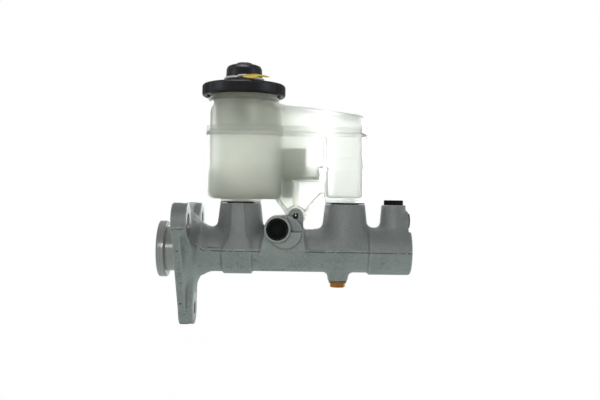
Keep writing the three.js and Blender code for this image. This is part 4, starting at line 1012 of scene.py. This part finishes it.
class Paint:
    """A procedural material built node by node, in millimetre coordinates that follow the piece."""

    def __init__(self, name):
        self.material = bpy.data.materials.new(name)
        self.material.use_nodes = True
        self.tree = self.material.node_tree
        self.tree.nodes.clear()
        here = self.node("ShaderNodeTexCoord").outputs["Object"]
        self.mm = self.node("ShaderNodeVectorMath", {0: here, "Scale": 1 / MM}, operation="SCALE").outputs[0]

    def node(self, kind, inputs=None, **settings):
        made = self.tree.nodes.new(kind)
        for key, value in settings.items():
            setattr(made, key, value)
        for key, value in (inputs or {}).items():
            socket = made.inputs[key]
            if isinstance(value, bpy.types.NodeSocket):
                self.tree.links.new(value, socket)
            else:
                socket.default_value = value
        return made

    def noise(self, scale, detail=3.0, rough=0.55, stretch=None):
        where = self.mm
        if stretch:
            feed = {0: where, 1: stretch}
            where = self.node("ShaderNodeVectorMath", feed, operation="MULTIPLY").outputs[0]
        feed = {"Vector": where, "Scale": scale, "Detail": detail, "Roughness": rough}
        return self.node("ShaderNodeTexNoise", feed).outputs["Fac"]

    def cells(self, scale, feature="F1"):
        feed = {"Vector": self.mm, "Scale": scale}
        return self.node("ShaderNodeTexVoronoi", feed, feature=feature).outputs[0]

    def fit(self, value, a, b, low=0.0, high=1.0):
        """Maps a..b to low..high, clamped."""
        return self.node("ShaderNodeMapRange", {0: value, 1: a, 2: b, 3: low, 4: high}).outputs[0]

    def drift(self, scale, detail=4, rough=0.6, stretch=None):
        """Slow drift between nought and one."""
        return self.fit(self.noise(scale, detail, rough, stretch), 0.3, 0.7)

    def math(self, kind, a, b=0.0, clamp=False):
        return self.node("ShaderNodeMath", {0: a, 1: b}, operation=kind, use_clamp=clamp).outputs[0]

    def times(self, a, b):
        return self.math("MULTIPLY", a, b)

    def off(self, value, middle):
        """Distance of a value from a level."""
        return self.math("ABSOLUTE", self.math("SUBTRACT", value, middle))

    def mix(self, share, a, b):
        return self.node("ShaderNodeMix", {0: share, 6: a, 7: b}, data_type="RGBA").outputs[2]

    def blend(self, share, a, b):
        return self.node("ShaderNodeMix", {0: share, 2: a, 3: b}, data_type="FLOAT").outputs[0]

    def layer(self, share, below, above):
        """One shader over another."""
        return self.node("ShaderNodeMixShader", {0: share, 1: below, 2: above}).outputs[0]

    def bump(self, height, distance, strength=1.0, normal=None):
        feed = {"Height": height, "Distance": distance * MM, "Strength": strength}
        if normal is not None:
            feed["Normal"] = normal
        return self.node("ShaderNodeBump", feed).outputs[0]

    def axis(self, name):
        return self.node("ShaderNodeSeparateXYZ", {0: self.mm}).outputs[name]

    def height(self):
        """Height above the bore axis."""
        return self.math("SUBTRACT", self.axis("Z"), AXIS_Z / MM)

    def radius(self):
        """Distance from the bore axis."""
        up, side = self.height(), self.axis("Y")
        return self.math("SQRT", self.math("ADD", self.times(up, up), self.times(side, side)))

    def edges(self, low=0.48, high=0.56):
        """Nought in hollows, one on sharp outer edges."""
        point = self.node("ShaderNodeNewGeometry").outputs["Pointiness"]
        return self.fit(point, low, high)

    def crevice_shade(self, reach, low=0.25, high=0.85):
        """One deep in corners and narrow gaps, nought on open surface; the mask for painted shade there."""
        open_sky = self.node("ShaderNodeAmbientOcclusion", {"Distance": reach * MM}, samples=4).outputs["AO"]
        return self.fit(open_sky, low, high, 1.0, 0.0)

    def lathe_marks(self, scale, detail=3.0):
        """Fine rings around the bore axis, as a lathe leaves them."""
        where = self.node("ShaderNodeCombineXYZ", {0: self.axis("X"), 1: self.radius(), 2: 0.0}).outputs[0]
        feed = {"Vector": where, "Scale": scale, "Detail": detail}
        return self.node("ShaderNodeTexNoise", feed).outputs["Fac"]

    def above_parting(self):
        """Height above the line where the mould halves met; it climbs the hub to the upper flange lugs."""
        x = self.axis("X")
        line = self.fit(x, 9, 12, LUG_FLASH_HEIGHT, 6.0)
        for start, end, drop in ((12, 16, -3.4), (16, 20, -2.1)):
            line = self.math("ADD", line, self.fit(x, start, end, 0.0, drop))
        # the near side of the port block came out of the lower half alone
        block = self.times(self.fit(x, 61.5, 62.5), self.fit(x, 94.5, 93.5))
        block = self.times(block, self.fit(self.axis("Y"), -14.5, -15.5, 0.0, 40.0))
        line = self.math("ADD", line, block)
        ragged = self.fit(self.noise(0.5, 4), 0.3, 0.7, -1.0, 1.0)
        line = self.math("ADD", line, self.times(ragged, self.fit(x, 22, 15)))
        return self.math("SUBTRACT", self.height(), line)

    def line(self, level, middle, strength):
        """Band less than a millimetre high at one level, broken here and there."""
        broken = self.fit(self.noise(0.35, 3), 0.36, 0.48)
        return self.times(self.fit(self.off(level, middle), 0.3, 0.6, strength, 0.0), broken)

    def plain(self, **feed):
        inputs = {PRINCIPLED[key]: value for key, value in feed.items()}
        return self.node("ShaderNodeBsdfPrincipled", inputs).outputs[0]

    def translucent(self, color, normal=None):
        feed = {"Color": color} if normal is None else {"Color": color, "Normal": normal}
        return self.node("ShaderNodeBsdfTranslucent", feed).outputs[0]

    def done(self, shader):
        self.node("ShaderNodeOutputMaterial", {"Surface": shader})
        return self.material


def grey(v, warm=0.0):
    return (v * (1 + warm), v, v * (1 - warm), 1)


def cast_skin(p):
    """Colour of the as-cast surface: mottled and stained below the parting line, more even above; painted
    light makes the lower half lighter and greenish and the upper half darker, with painted highlights on
    edges and the parting line and painted shade under that line, in hollows and in corners.
    """
    cloud = p.fit(p.noise(0.06, 4, 0.6), 0.35, 0.68)
    fleck = p.fit(p.noise(0.9, 5, 0.7), 0.38, 0.66)
    lower = p.mix(cloud, (0.47, 0.52, 0.50, 1), (0.58, 0.63, 0.61, 1))
    lower = p.mix(p.times(fleck, 0.7), lower, (0.76, 0.79, 0.78, 1))
    stain = p.fit(p.noise(0.22, 5, 0.65), 0.58, 0.76, 0, 0.7)
    lower = p.mix(stain, lower, (0.25, 0.27, 0.26, 1))
    upper = p.mix(cloud, (0.47, 0.48, 0.485, 1), (0.53, 0.54, 0.545, 1))
    upper = p.mix(p.times(fleck, 0.32), upper, (0.70, 0.71, 0.72, 1))
    level = p.above_parting()
    # painted light: the lower half lighter and greenish as if lit from the floor, the upper half darker as
    # painted shade from above
    skin = p.mix(p.fit(level, -0.3, 0.3), lower, upper)
    # painted highlight on sharp outer edges
    skin = p.mix(p.times(p.edges(0.505, 0.58), 0.7), skin, (0.92, 0.93, 0.92, 1))
    # painted highlight along the parting line
    skin = p.mix(p.line(level, 0.1, 0.7), skin, (0.86, 0.88, 0.87, 1))
    # painted shadow just under the parting line
    skin = p.mix(p.line(level, -0.8, 0.7), skin, (0.12, 0.125, 0.12, 1))
    # painted shade in hollows
    skin = p.mix(p.times(p.edges(0.492, 0.43), 0.7), skin, (0.09, 0.09, 0.088, 1))
    # painted shade in corners and narrow gaps
    return p.mix(p.times(p.crevice_shade(2.2), 0.6), skin, (0.07, 0.072, 0.07, 1))


def cast_relief(p):
    """Height of the as-cast surface: grain, slow waves and a few pits in patches."""
    grain = p.times(p.noise(1.5, 4, 0.62), 0.5)
    waves = p.times(p.noise(0.32, 2, 0.5), 0.9)
    pit = p.fit(p.cells(0.55), 0.0, 0.16)
    pit_here = p.fit(p.noise(0.12, 2), 0.56, 0.64)
    pits = p.math("SUBTRACT", 1.0, p.times(p.math("SUBTRACT", 1.0, pit), pit_here))
    return p.math("ADD", p.math("ADD", grain, waves), p.times(pits, 0.7))


def cast_aluminium():
    """As-cast skin, mottled and dull, with bright turned faces where the surface is marked as machined."""
    p = Paint("cast_aluminium")
    skin = cast_skin(p)
    marked = p.node("ShaderNodeAttribute", attribute_name="machined").outputs["Fac"]
    marked = p.fit(marked, 0.35, 0.65)
    rings = p.fit(p.lathe_marks(1.3), 0.3, 0.7)
    turned = p.mix(rings, (0.50, 0.50, 0.485, 1), (0.84, 0.84, 0.82, 1))
    # painted shade in the corners and holes of the machined faces
    turned = p.mix(p.times(p.crevice_shade(2.0), 0.8), turned, (0.08, 0.08, 0.075, 1))
    rough_skin = p.fit(p.noise(0.7, 4), 0.3, 0.7, 0.42, 0.6)
    rough = p.blend(marked, rough_skin, p.fit(rings, 0, 1, 0.13, 0.26))
    cast_normal = p.bump(cast_relief(p), 0.55, p.blend(marked, 0.85, 0.0))
    normal = p.bump(rings, 0.03, marked, cast_normal)
    color = p.mix(marked, skin, turned)
    return p.done(p.plain(color=color, rough=rough, metal=p.blend(marked, 0.82, 0.92), normal=normal))


def clearness(p, band):
    """How far the tank can be seen through: little at the rear and at the trough, more in front.

    The first value is lower in the welded band, the second is without it.
    """
    rear_edge = p.fit(p.axis("X"), 33, 27, 0, 0.6)
    clear = p.math("MAXIMUM", p.fit(p.axis("X"), 66, 106), rear_edge)
    trough = p.times(p.fit(p.height(), 61.6, 60.6), p.fit(p.axis("X"), 107, 105, 0, 0.35))
    clear = p.math("SUBTRACT", clear, trough, clamp=True)
    return p.math("SUBTRACT", clear, p.times(band, 0.22), clamp=True), clear


def milky_color(p, cloud, clear, band, bracket):
    """Tone of the tank: painted shade toward its floor, darker in the welded band, painted shadow lines
    along the band's edges and painted shade on the bracket.
    """
    height = p.height()
    milk = p.mix(cloud, (0.85, 0.86, 0.815, 1), (0.91, 0.915, 0.88, 1))
    # painted shade toward the floor of the tank
    milk = p.mix(p.fit(height, 66, 40, 0, 0.8), milk, (0.58, 0.585, 0.545, 1))
    milk = p.mix(clear, milk, (0.75, 0.755, 0.745, 1))
    rim = p.off(p.off(height, WELD_MIDDLE), (WELD_TOP - WELD_BOTTOM) / 2)
    # painted shadow lines along the edges of the welded band
    milk = p.mix(p.fit(rim, 0.25, 0.55, 0.4, 0.0), milk, (0.50, 0.505, 0.47, 1))
    milk = p.mix(p.times(band, 0.3), milk, (0.62, 0.625, 0.60, 1))
    # the bracket painted greyer, as painted shade
    return p.mix(bracket, milk, (0.70, 0.71, 0.68, 1))


def reservoir_plastic():
    """Milky moulded plastic, denser and warmer at the rear; shapes behind it show as soft shadows."""
    p = Paint("reservoir_plastic")
    band = p.fit(p.off(p.height(), WELD_MIDDLE), 3.7, 3.3)
    # the bracket under the tank is a thin web in plain air; it is painted greyer than the tank, as painted
    # shade
    near_middle = p.fit(p.math("ABSOLUTE", p.axis("Y")), 4.4, 3.8)
    bracket = p.times(p.fit(p.height(), 53.4, 52.2, 0, 0.7), near_middle)
    cloud = p.drift(0.05, 3, 0.5)
    clear, clear_wall = clearness(p, band)
    milk = milky_color(p, cloud, clear_wall, band, bracket)
    slow = p.bump(p.noise(0.35, 2, 0.4), 0.12, 0.5)
    grain = p.bump(p.noise(2.6, 2, 0.5), 0.03, 0.6, slow)
    through = p.translucent(milk, grain)
    scatter = p.plain(color=milk, rough=p.fit(cloud, 0, 1, 0.28, 0.42), normal=grain, ior=1.42, skin=1.0,
                      skin_scale=0.005, skin_radius=(1.0, 1.0, 0.9))
    tint = (0.95, 0.955, 0.945, 1)
    bend = p.blend(clear, 1.1, 1.03)
    feed = {"Color": tint, "Roughness": 0.6, "IOR": bend, "Normal": grain}
    blur = p.node("ShaderNodeBsdfRefraction", feed).outputs[0]
    share = p.blend(bracket, p.fit(clear, 0, 1, 0.22, 0.58), 0.1)
    return p.done(p.layer(share, p.layer(0.25, through, scatter), blur))


def lighter(color, gain, lift=0.0):
    return tuple(min(1, q * gain + lift) for q in color[:3]) + (1,)


def moulded(name, dark, light, rough=(0.32, 0.5), grain=0.04, edge=0.25, ior=1.5):
    """Moulded plastic or rubber: slow tone drift, faint dust, fine skin texture, worn edges."""
    p = Paint(name)
    color = p.mix(p.drift(0.12), dark, light)
    dust = p.fit(p.noise(1.3, 5, 0.7), 0.58, 0.78, 0, 0.22)
    color = p.mix(dust, color, lighter(light, 1.6, 0.05))
    color = p.mix(p.times(p.edges(0.52, 0.6), edge), color, lighter(light, 1.8, 0.08))
    shine = p.fit(p.noise(0.8, 4), 0.3, 0.7, *rough)
    fine = p.bump(p.noise(3.2, 3, 0.6), grain, 0.7)
    slow = p.bump(p.noise(0.3, 2, 0.5), grain * 3, 0.4, fine)
    return p.done(p.plain(color=color, rough=shine, normal=slow, ior=ior))


def metal(name, dark, light, rough=(0.2, 0.4), lines=None, stain=None, grain=0.02):
    """Bare or plated metal: tone drift, brushed or turned lines along one axis, stains."""
    p = Paint(name)
    color = p.mix(p.drift(0.25), dark, light)
    if stain:
        spots = p.fit(p.noise(0.9, 4, 0.65), 0.55, 0.72, 0, 0.75)
        color = p.mix(spots, color, stain)
    streak = p.noise(2.2, 3, 0.6, lines or (1, 1, 1))
    shine = p.fit(streak, 0.3, 0.7, *rough)
    color = p.mix(p.times(p.edges(0.52, 0.6), 0.35), color, lighter(light, 1.35))
    return p.done(p.plain(color=color, rough=shine, metal=1.0, normal=p.bump(streak, grain, 0.8)))


def mesh_fabric():
    """Strainer: woven filter cloth between moulded frames, as a fine square weave."""
    p = Paint("strainer_plastic")
    x, y, z = [p.math("ABSOLUTE", p.math("SINE", p.times(p.axis(name), 9.0))) for name in "XYZ"]
    weave = p.math("MAXIMUM", x, p.math("MAXIMUM", y, z))
    color = p.mix(p.fit(weave, 0.5, 1), (0.72, 0.73, 0.68, 1), (0.90, 0.90, 0.86, 1))
    color = p.mix(p.fit(p.noise(0.3), 0.4, 0.7, 0, 0.4), color, (0.80, 0.78, 0.70, 1))
    surface = p.plain(color=color, rough=0.55, normal=p.bump(weave, 0.15, 0.8))
    return p.done(p.layer(0.65, surface, p.translucent(color)))


def foam():
    """Float: closed-cell foam that lets a little light through."""
    p = Paint("float_plastic")
    color = p.mix(p.drift(0.2), (0.92, 0.93, 0.88, 1), (0.97, 0.97, 0.94, 1))
    cells = p.bump(p.cells(1.6), 0.15, 0.7)
    surface = p.plain(color=color, rough=0.65, normal=cells)
    return p.done(p.layer(0.82, surface, p.translucent(color, cells)))


def drawn_strap():
    """Clear-grey plastic strap with lengthwise draw marks."""
    p = Paint("strap_plastic")
    tone = p.drift(0.5, 3, 0.5, (1, 1, 5))
    color = p.mix(tone, (0.42, 0.43, 0.41, 1), (0.62, 0.63, 0.60, 1))
    normal = p.bump(p.noise(2.0, 2, 0.5, (0.2, 0.2, 3)), 0.06, 0.7)
    rough = p.fit(tone, 0, 1, 0.25, 0.4)
    return p.done(p.plain(color=color, rough=rough, normal=normal, skin=0.3, skin_scale=0.002))


def paper_tag():
    """Yellow coated label, a little rubbed and creased, with two worn printed rules."""
    p = Paint("tag_plastic")
    tone = p.drift(0.35)
    color = p.mix(tone, (0.44, 0.29, 0.005, 1), (0.62, 0.44, 0.015, 1))
    rub = p.fit(p.noise(1.8, 5, 0.7), 0.6, 0.75, 0, 0.5)
    color = p.mix(rub, color, (0.93, 0.86, 0.50, 1))
    for rule in (-24.2, -26.4):
        worn = p.fit(p.noise(0.9, 3), 0.42, 0.5, 0, 0.8)
        print_here = p.times(p.fit(p.off(p.axis("Y"), rule), 0.25, 0.4, 1, 0), worn)
        color = p.mix(print_here, color, (0.05, 0.04, 0.02, 1))
    crease = p.bump(p.noise(0.45, 3, 0.5), 0.3, 0.5)
    return p.done(p.plain(color=color, rough=p.fit(tone, 0, 1, 0.3, 0.5), normal=crease, coat=0.2))


def black_finishes():
    cap_dark, cap_light = (0.008, 0.007, 0.010, 1), (0.018, 0.016, 0.022, 1)
    return {
        "cap_plastic": moulded("cap_plastic", cap_dark, cap_light, (0.3, 0.46), 0.08, 0.3, 1.42),
        "plug_plastic": moulded("plug_plastic", grey(0.004), grey(0.009), (0.35, 0.5), 0.05, 0.25, 1.3),
        "seal_rubber": moulded("seal_rubber", grey(0.014), grey(0.035), (0.5, 0.72), 0.06, 0.15),
    }


def metal_finishes():
    along_x = (0.3, 3, 3)
    around_x = (4, 0.6, 0.6)
    rust = grey(0.22, 0.15)
    zinc_dark, zinc_light, zinc_stain = (0.50, 0.15, 0.03, 1), (0.80, 0.36, 0.10, 1), (0.78, 0.55, 0.28, 1)
    copper_dark, copper_light = (0.55, 0.30, 0.17, 1), (0.72, 0.45, 0.28, 1)
    brass_dark, brass_light = (0.58, 0.42, 0.16, 1), (0.78, 0.60, 0.28, 1)
    piston_dark, piston_light = (0.50, 0.50, 0.42, 1), (0.66, 0.66, 0.56, 1)
    return {
        "spring_steel": metal("spring_steel", grey(0.35), grey(0.52), (0.22, 0.4), along_x, rust),
        "dark_steel": metal("dark_steel", grey(0.02), grey(0.06), (0.35, 0.5), along_x, grey(0.1, 0.2)),
        "yellow_zinc": metal("yellow_zinc", zinc_dark, zinc_light, (0.22, 0.42), None, zinc_stain, 0.04),
        "gasket_metal": metal("gasket_metal", copper_dark, copper_light, (0.25, 0.45)),
        "seat_brass": metal("seat_brass", brass_dark, brass_light, (0.2, 0.36), (1, 1, 4)),
        "piston_aluminium": metal("piston_aluminium", piston_dark, piston_light, (0.25, 0.4), around_x),
    }


def finish_name(ob, slots):
    """Finish of a piece or shown CAD node: that of its slot, except for the black pin and the switch."""
    if ob == pin_ob:
        return "dark_steel"
    if ob.get("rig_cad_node") == "level_switch":
        return "reservoir_plastic"
    return ob["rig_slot"] if "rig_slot" in ob else slots[ob["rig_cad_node"]]


def paint_all():
    finishes = {"cast_aluminium": cast_aluminium(), "reservoir_plastic": reservoir_plastic(),
                "float_plastic": foam(), "strainer_plastic": mesh_fabric(), "strap_plastic": drawn_strap(),
                "tag_plastic": paper_tag(), **black_finishes(), **metal_finishes()}
    slots = {row["node"]: row["material_slot"] for row in frame["record"]["subparts"]}
    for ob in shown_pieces():
        ob.data.materials.clear()
        ob.data.materials.append(finishes[finish_name(ob, slots)])


# ---------- floor, light and camera

FLOOR_GAP = 0.0006
ROOM_LEVEL = 0.38
ROOM_TILT = {"X": 0.0, "Y": 0.10, "Z": -0.12}
ROOM_TINT = (0.95, 1.0, 0.98, 1)
BACKDROP = 1.2
WHITE = (1, 1, 1, 1)


class Sky(Paint):
    """The same node builder for the world around the object."""

    def __init__(self, name):
        world = bpy.data.worlds.new(name)
        bpy.context.scene.world = world
        world.use_nodes = True
        self.tree = world.node_tree
        self.tree.nodes.clear()


def pale_floor():
    """Seamless pale floor a hair under the lowest lug, bright enough to fade into the background."""
    middle = (0.08, 0, cad_low.z - FLOOR_GAP)
    bpy.ops.mesh.primitive_grid_add(x_subdivisions=8, y_subdivisions=8, size=40, location=middle)
    floor = bpy.context.object
    floor.name = "floor"
    p = Paint("floor")
    paper = p.mix(p.fit(p.noise(0.01, 4), 0.3, 0.7), grey(0.90), grey(0.93))
    body = p.plain(color=paper, rough=0.7, normal=p.bump(p.noise(0.8, 3), 0.05, 0.3))
    seen = p.node("ShaderNodeLightPath").outputs["Is Camera Ray"]
    behind = p.fit(p.axis("Y"), -60, 260, 0.35, 0.95)
    tint = p.mix(seen, (0.90, 1.0, 0.95, 1), WHITE)
    glow = p.node("ShaderNodeEmission", {"Color": tint, "Strength": p.blend(seen, behind, 1.05)}).outputs[0]
    floor.data.materials.append(p.done(p.layer(p.fit(seen, 0, 1, 0.6, 0.93), body, glow)))


def studio_world():
    """White to the camera; to the object a dim room, brighter behind the object than in front or above."""
    sky = Sky("studio")
    way = sky.node("ShaderNodeTexCoord").outputs["Generated"]
    split = sky.node("ShaderNodeSeparateXYZ", {0: way}).outputs
    level = ROOM_LEVEL
    for name, gain in ROOM_TILT.items():
        feed = {0: split[name], 1: gain, 2: level}
        level = sky.node("ShaderNodeMath", feed, operation="MULTIPLY_ADD").outputs[0]
    screen = sky.fit(split["Y"], 0.85, 0.97, 0.0, BACKDROP)
    strength = sky.math("ADD", level, screen)
    room = sky.node("ShaderNodeBackground", {"Strength": strength, "Color": ROOM_TINT}).outputs[0]
    white = sky.node("ShaderNodeBackground", {"Color": WHITE}).outputs[0]
    seen = sky.node("ShaderNodeLightPath").outputs["Is Camera Ray"]
    sky.node("ShaderNodeOutputWorld", {"Surface": sky.layer(seen, room, white)})


def soft_light(name, place, target, size, power, color=(1, 1, 1)):
    data = bpy.data.lights.new(name, "AREA")
    data.shape = "RECTANGLE"
    data.size, data.size_y = size
    data.energy = power
    data.color = color
    lamp = bpy.data.objects.new(name, data)
    bpy.context.scene.collection.objects.link(lamp)
    lamp.location = place
    lamp.rotation_euler = (Vector(target) - Vector(place)).to_track_quat("-Z", "Y").to_euler()
    return lamp


def shine_only_on(lamps, pieces):
    """Limits lamps to some pieces, to keep their light off the others."""
    chosen = bpy.data.collections.new("lit_by_" + lamps[0].name)
    for piece in pieces:
        chosen.objects.link(piece)
    for lamp in lamps:
        lamp.light_linking.receiver_collection = chosen


def light_tank(centre):
    """Panels behind the tank, so that it glows and what is inside shows as shadows."""
    behind = soft_light("back_panel", (-0.1, 0.55, 0.22), centre + Vector((-0.03, 0, 0.02)), (0.5, 0.4), 11)
    right = soft_light("right_panel", (0.6, 0.45, 0.15), centre + Vector((0.02, 0, 0.02)), (0.4, 0.4), 2.6)
    inside = [frame["nodes"]["strainer"], frame["nodes"]["level_switch"]]
    shine_only_on([behind, right], [tank_lower, tank_upper, float_ob] + inside)


def light_black_parts(centre):
    """Narrow strips above and at both sides that draw highlights on the cap and the plugs."""
    cool = (0.92, 0.96, 1.0)
    above = soft_light("cap_strip", (0.0, -0.25, 0.75), centre + Vector((-0.03, 0, 0.08)), (0.5, 0.05), 3.5)
    left = soft_light("cap_left", (-0.5, -0.25, 0.30), (0.02, 0, 0.15), (0.05, 0.4), 0.5, cool)
    right = soft_light("cap_right", (0.6, -0.25, 0.30), (0.07, 0, 0.15), (0.05, 0.4), 0.5, cool)
    shine_only_on([above, left, right], [cap_ob, strap_ob, tag_ob, top_plug, forward_plug])


def light_metal():
    """Weak front panel that lifts the near faces of the metal."""
    front = soft_light("face_panel", (0.02, -0.9, 0.28), (0.08, 0, 0.05), (0.3, 0.2), 0.4)
    shine_only_on([front], [cast_body, bolt_ob, gasket_ob, pin_ob])


def camera_at_the_side():
    """Looks along +Y from the outlet-port side, a little above the bore axis."""
    data = bpy.data.cameras.new("camera")
    data.lens = 45
    data.clip_start, data.clip_end = 0.02, 60
    camera = bpy.data.objects.new("camera", data)
    bpy.context.scene.collection.objects.link(camera)
    camera.location = (0.0897, -0.57, AXIS_Z + 0.038)
    camera.rotation_euler = (math.radians(90), math.radians(-0.83), 0)
    bpy.context.scene.camera = camera


paint_all()
pale_floor()
studio_world()
centre = (cad_low + cad_high) / 2
light_tank(centre)
light_black_parts(centre)
light_metal()
camera_at_the_side()
bpy.context.scene.view_settings.view_transform = "Standard"
bpy.context.scene.view_settings.look = "None"
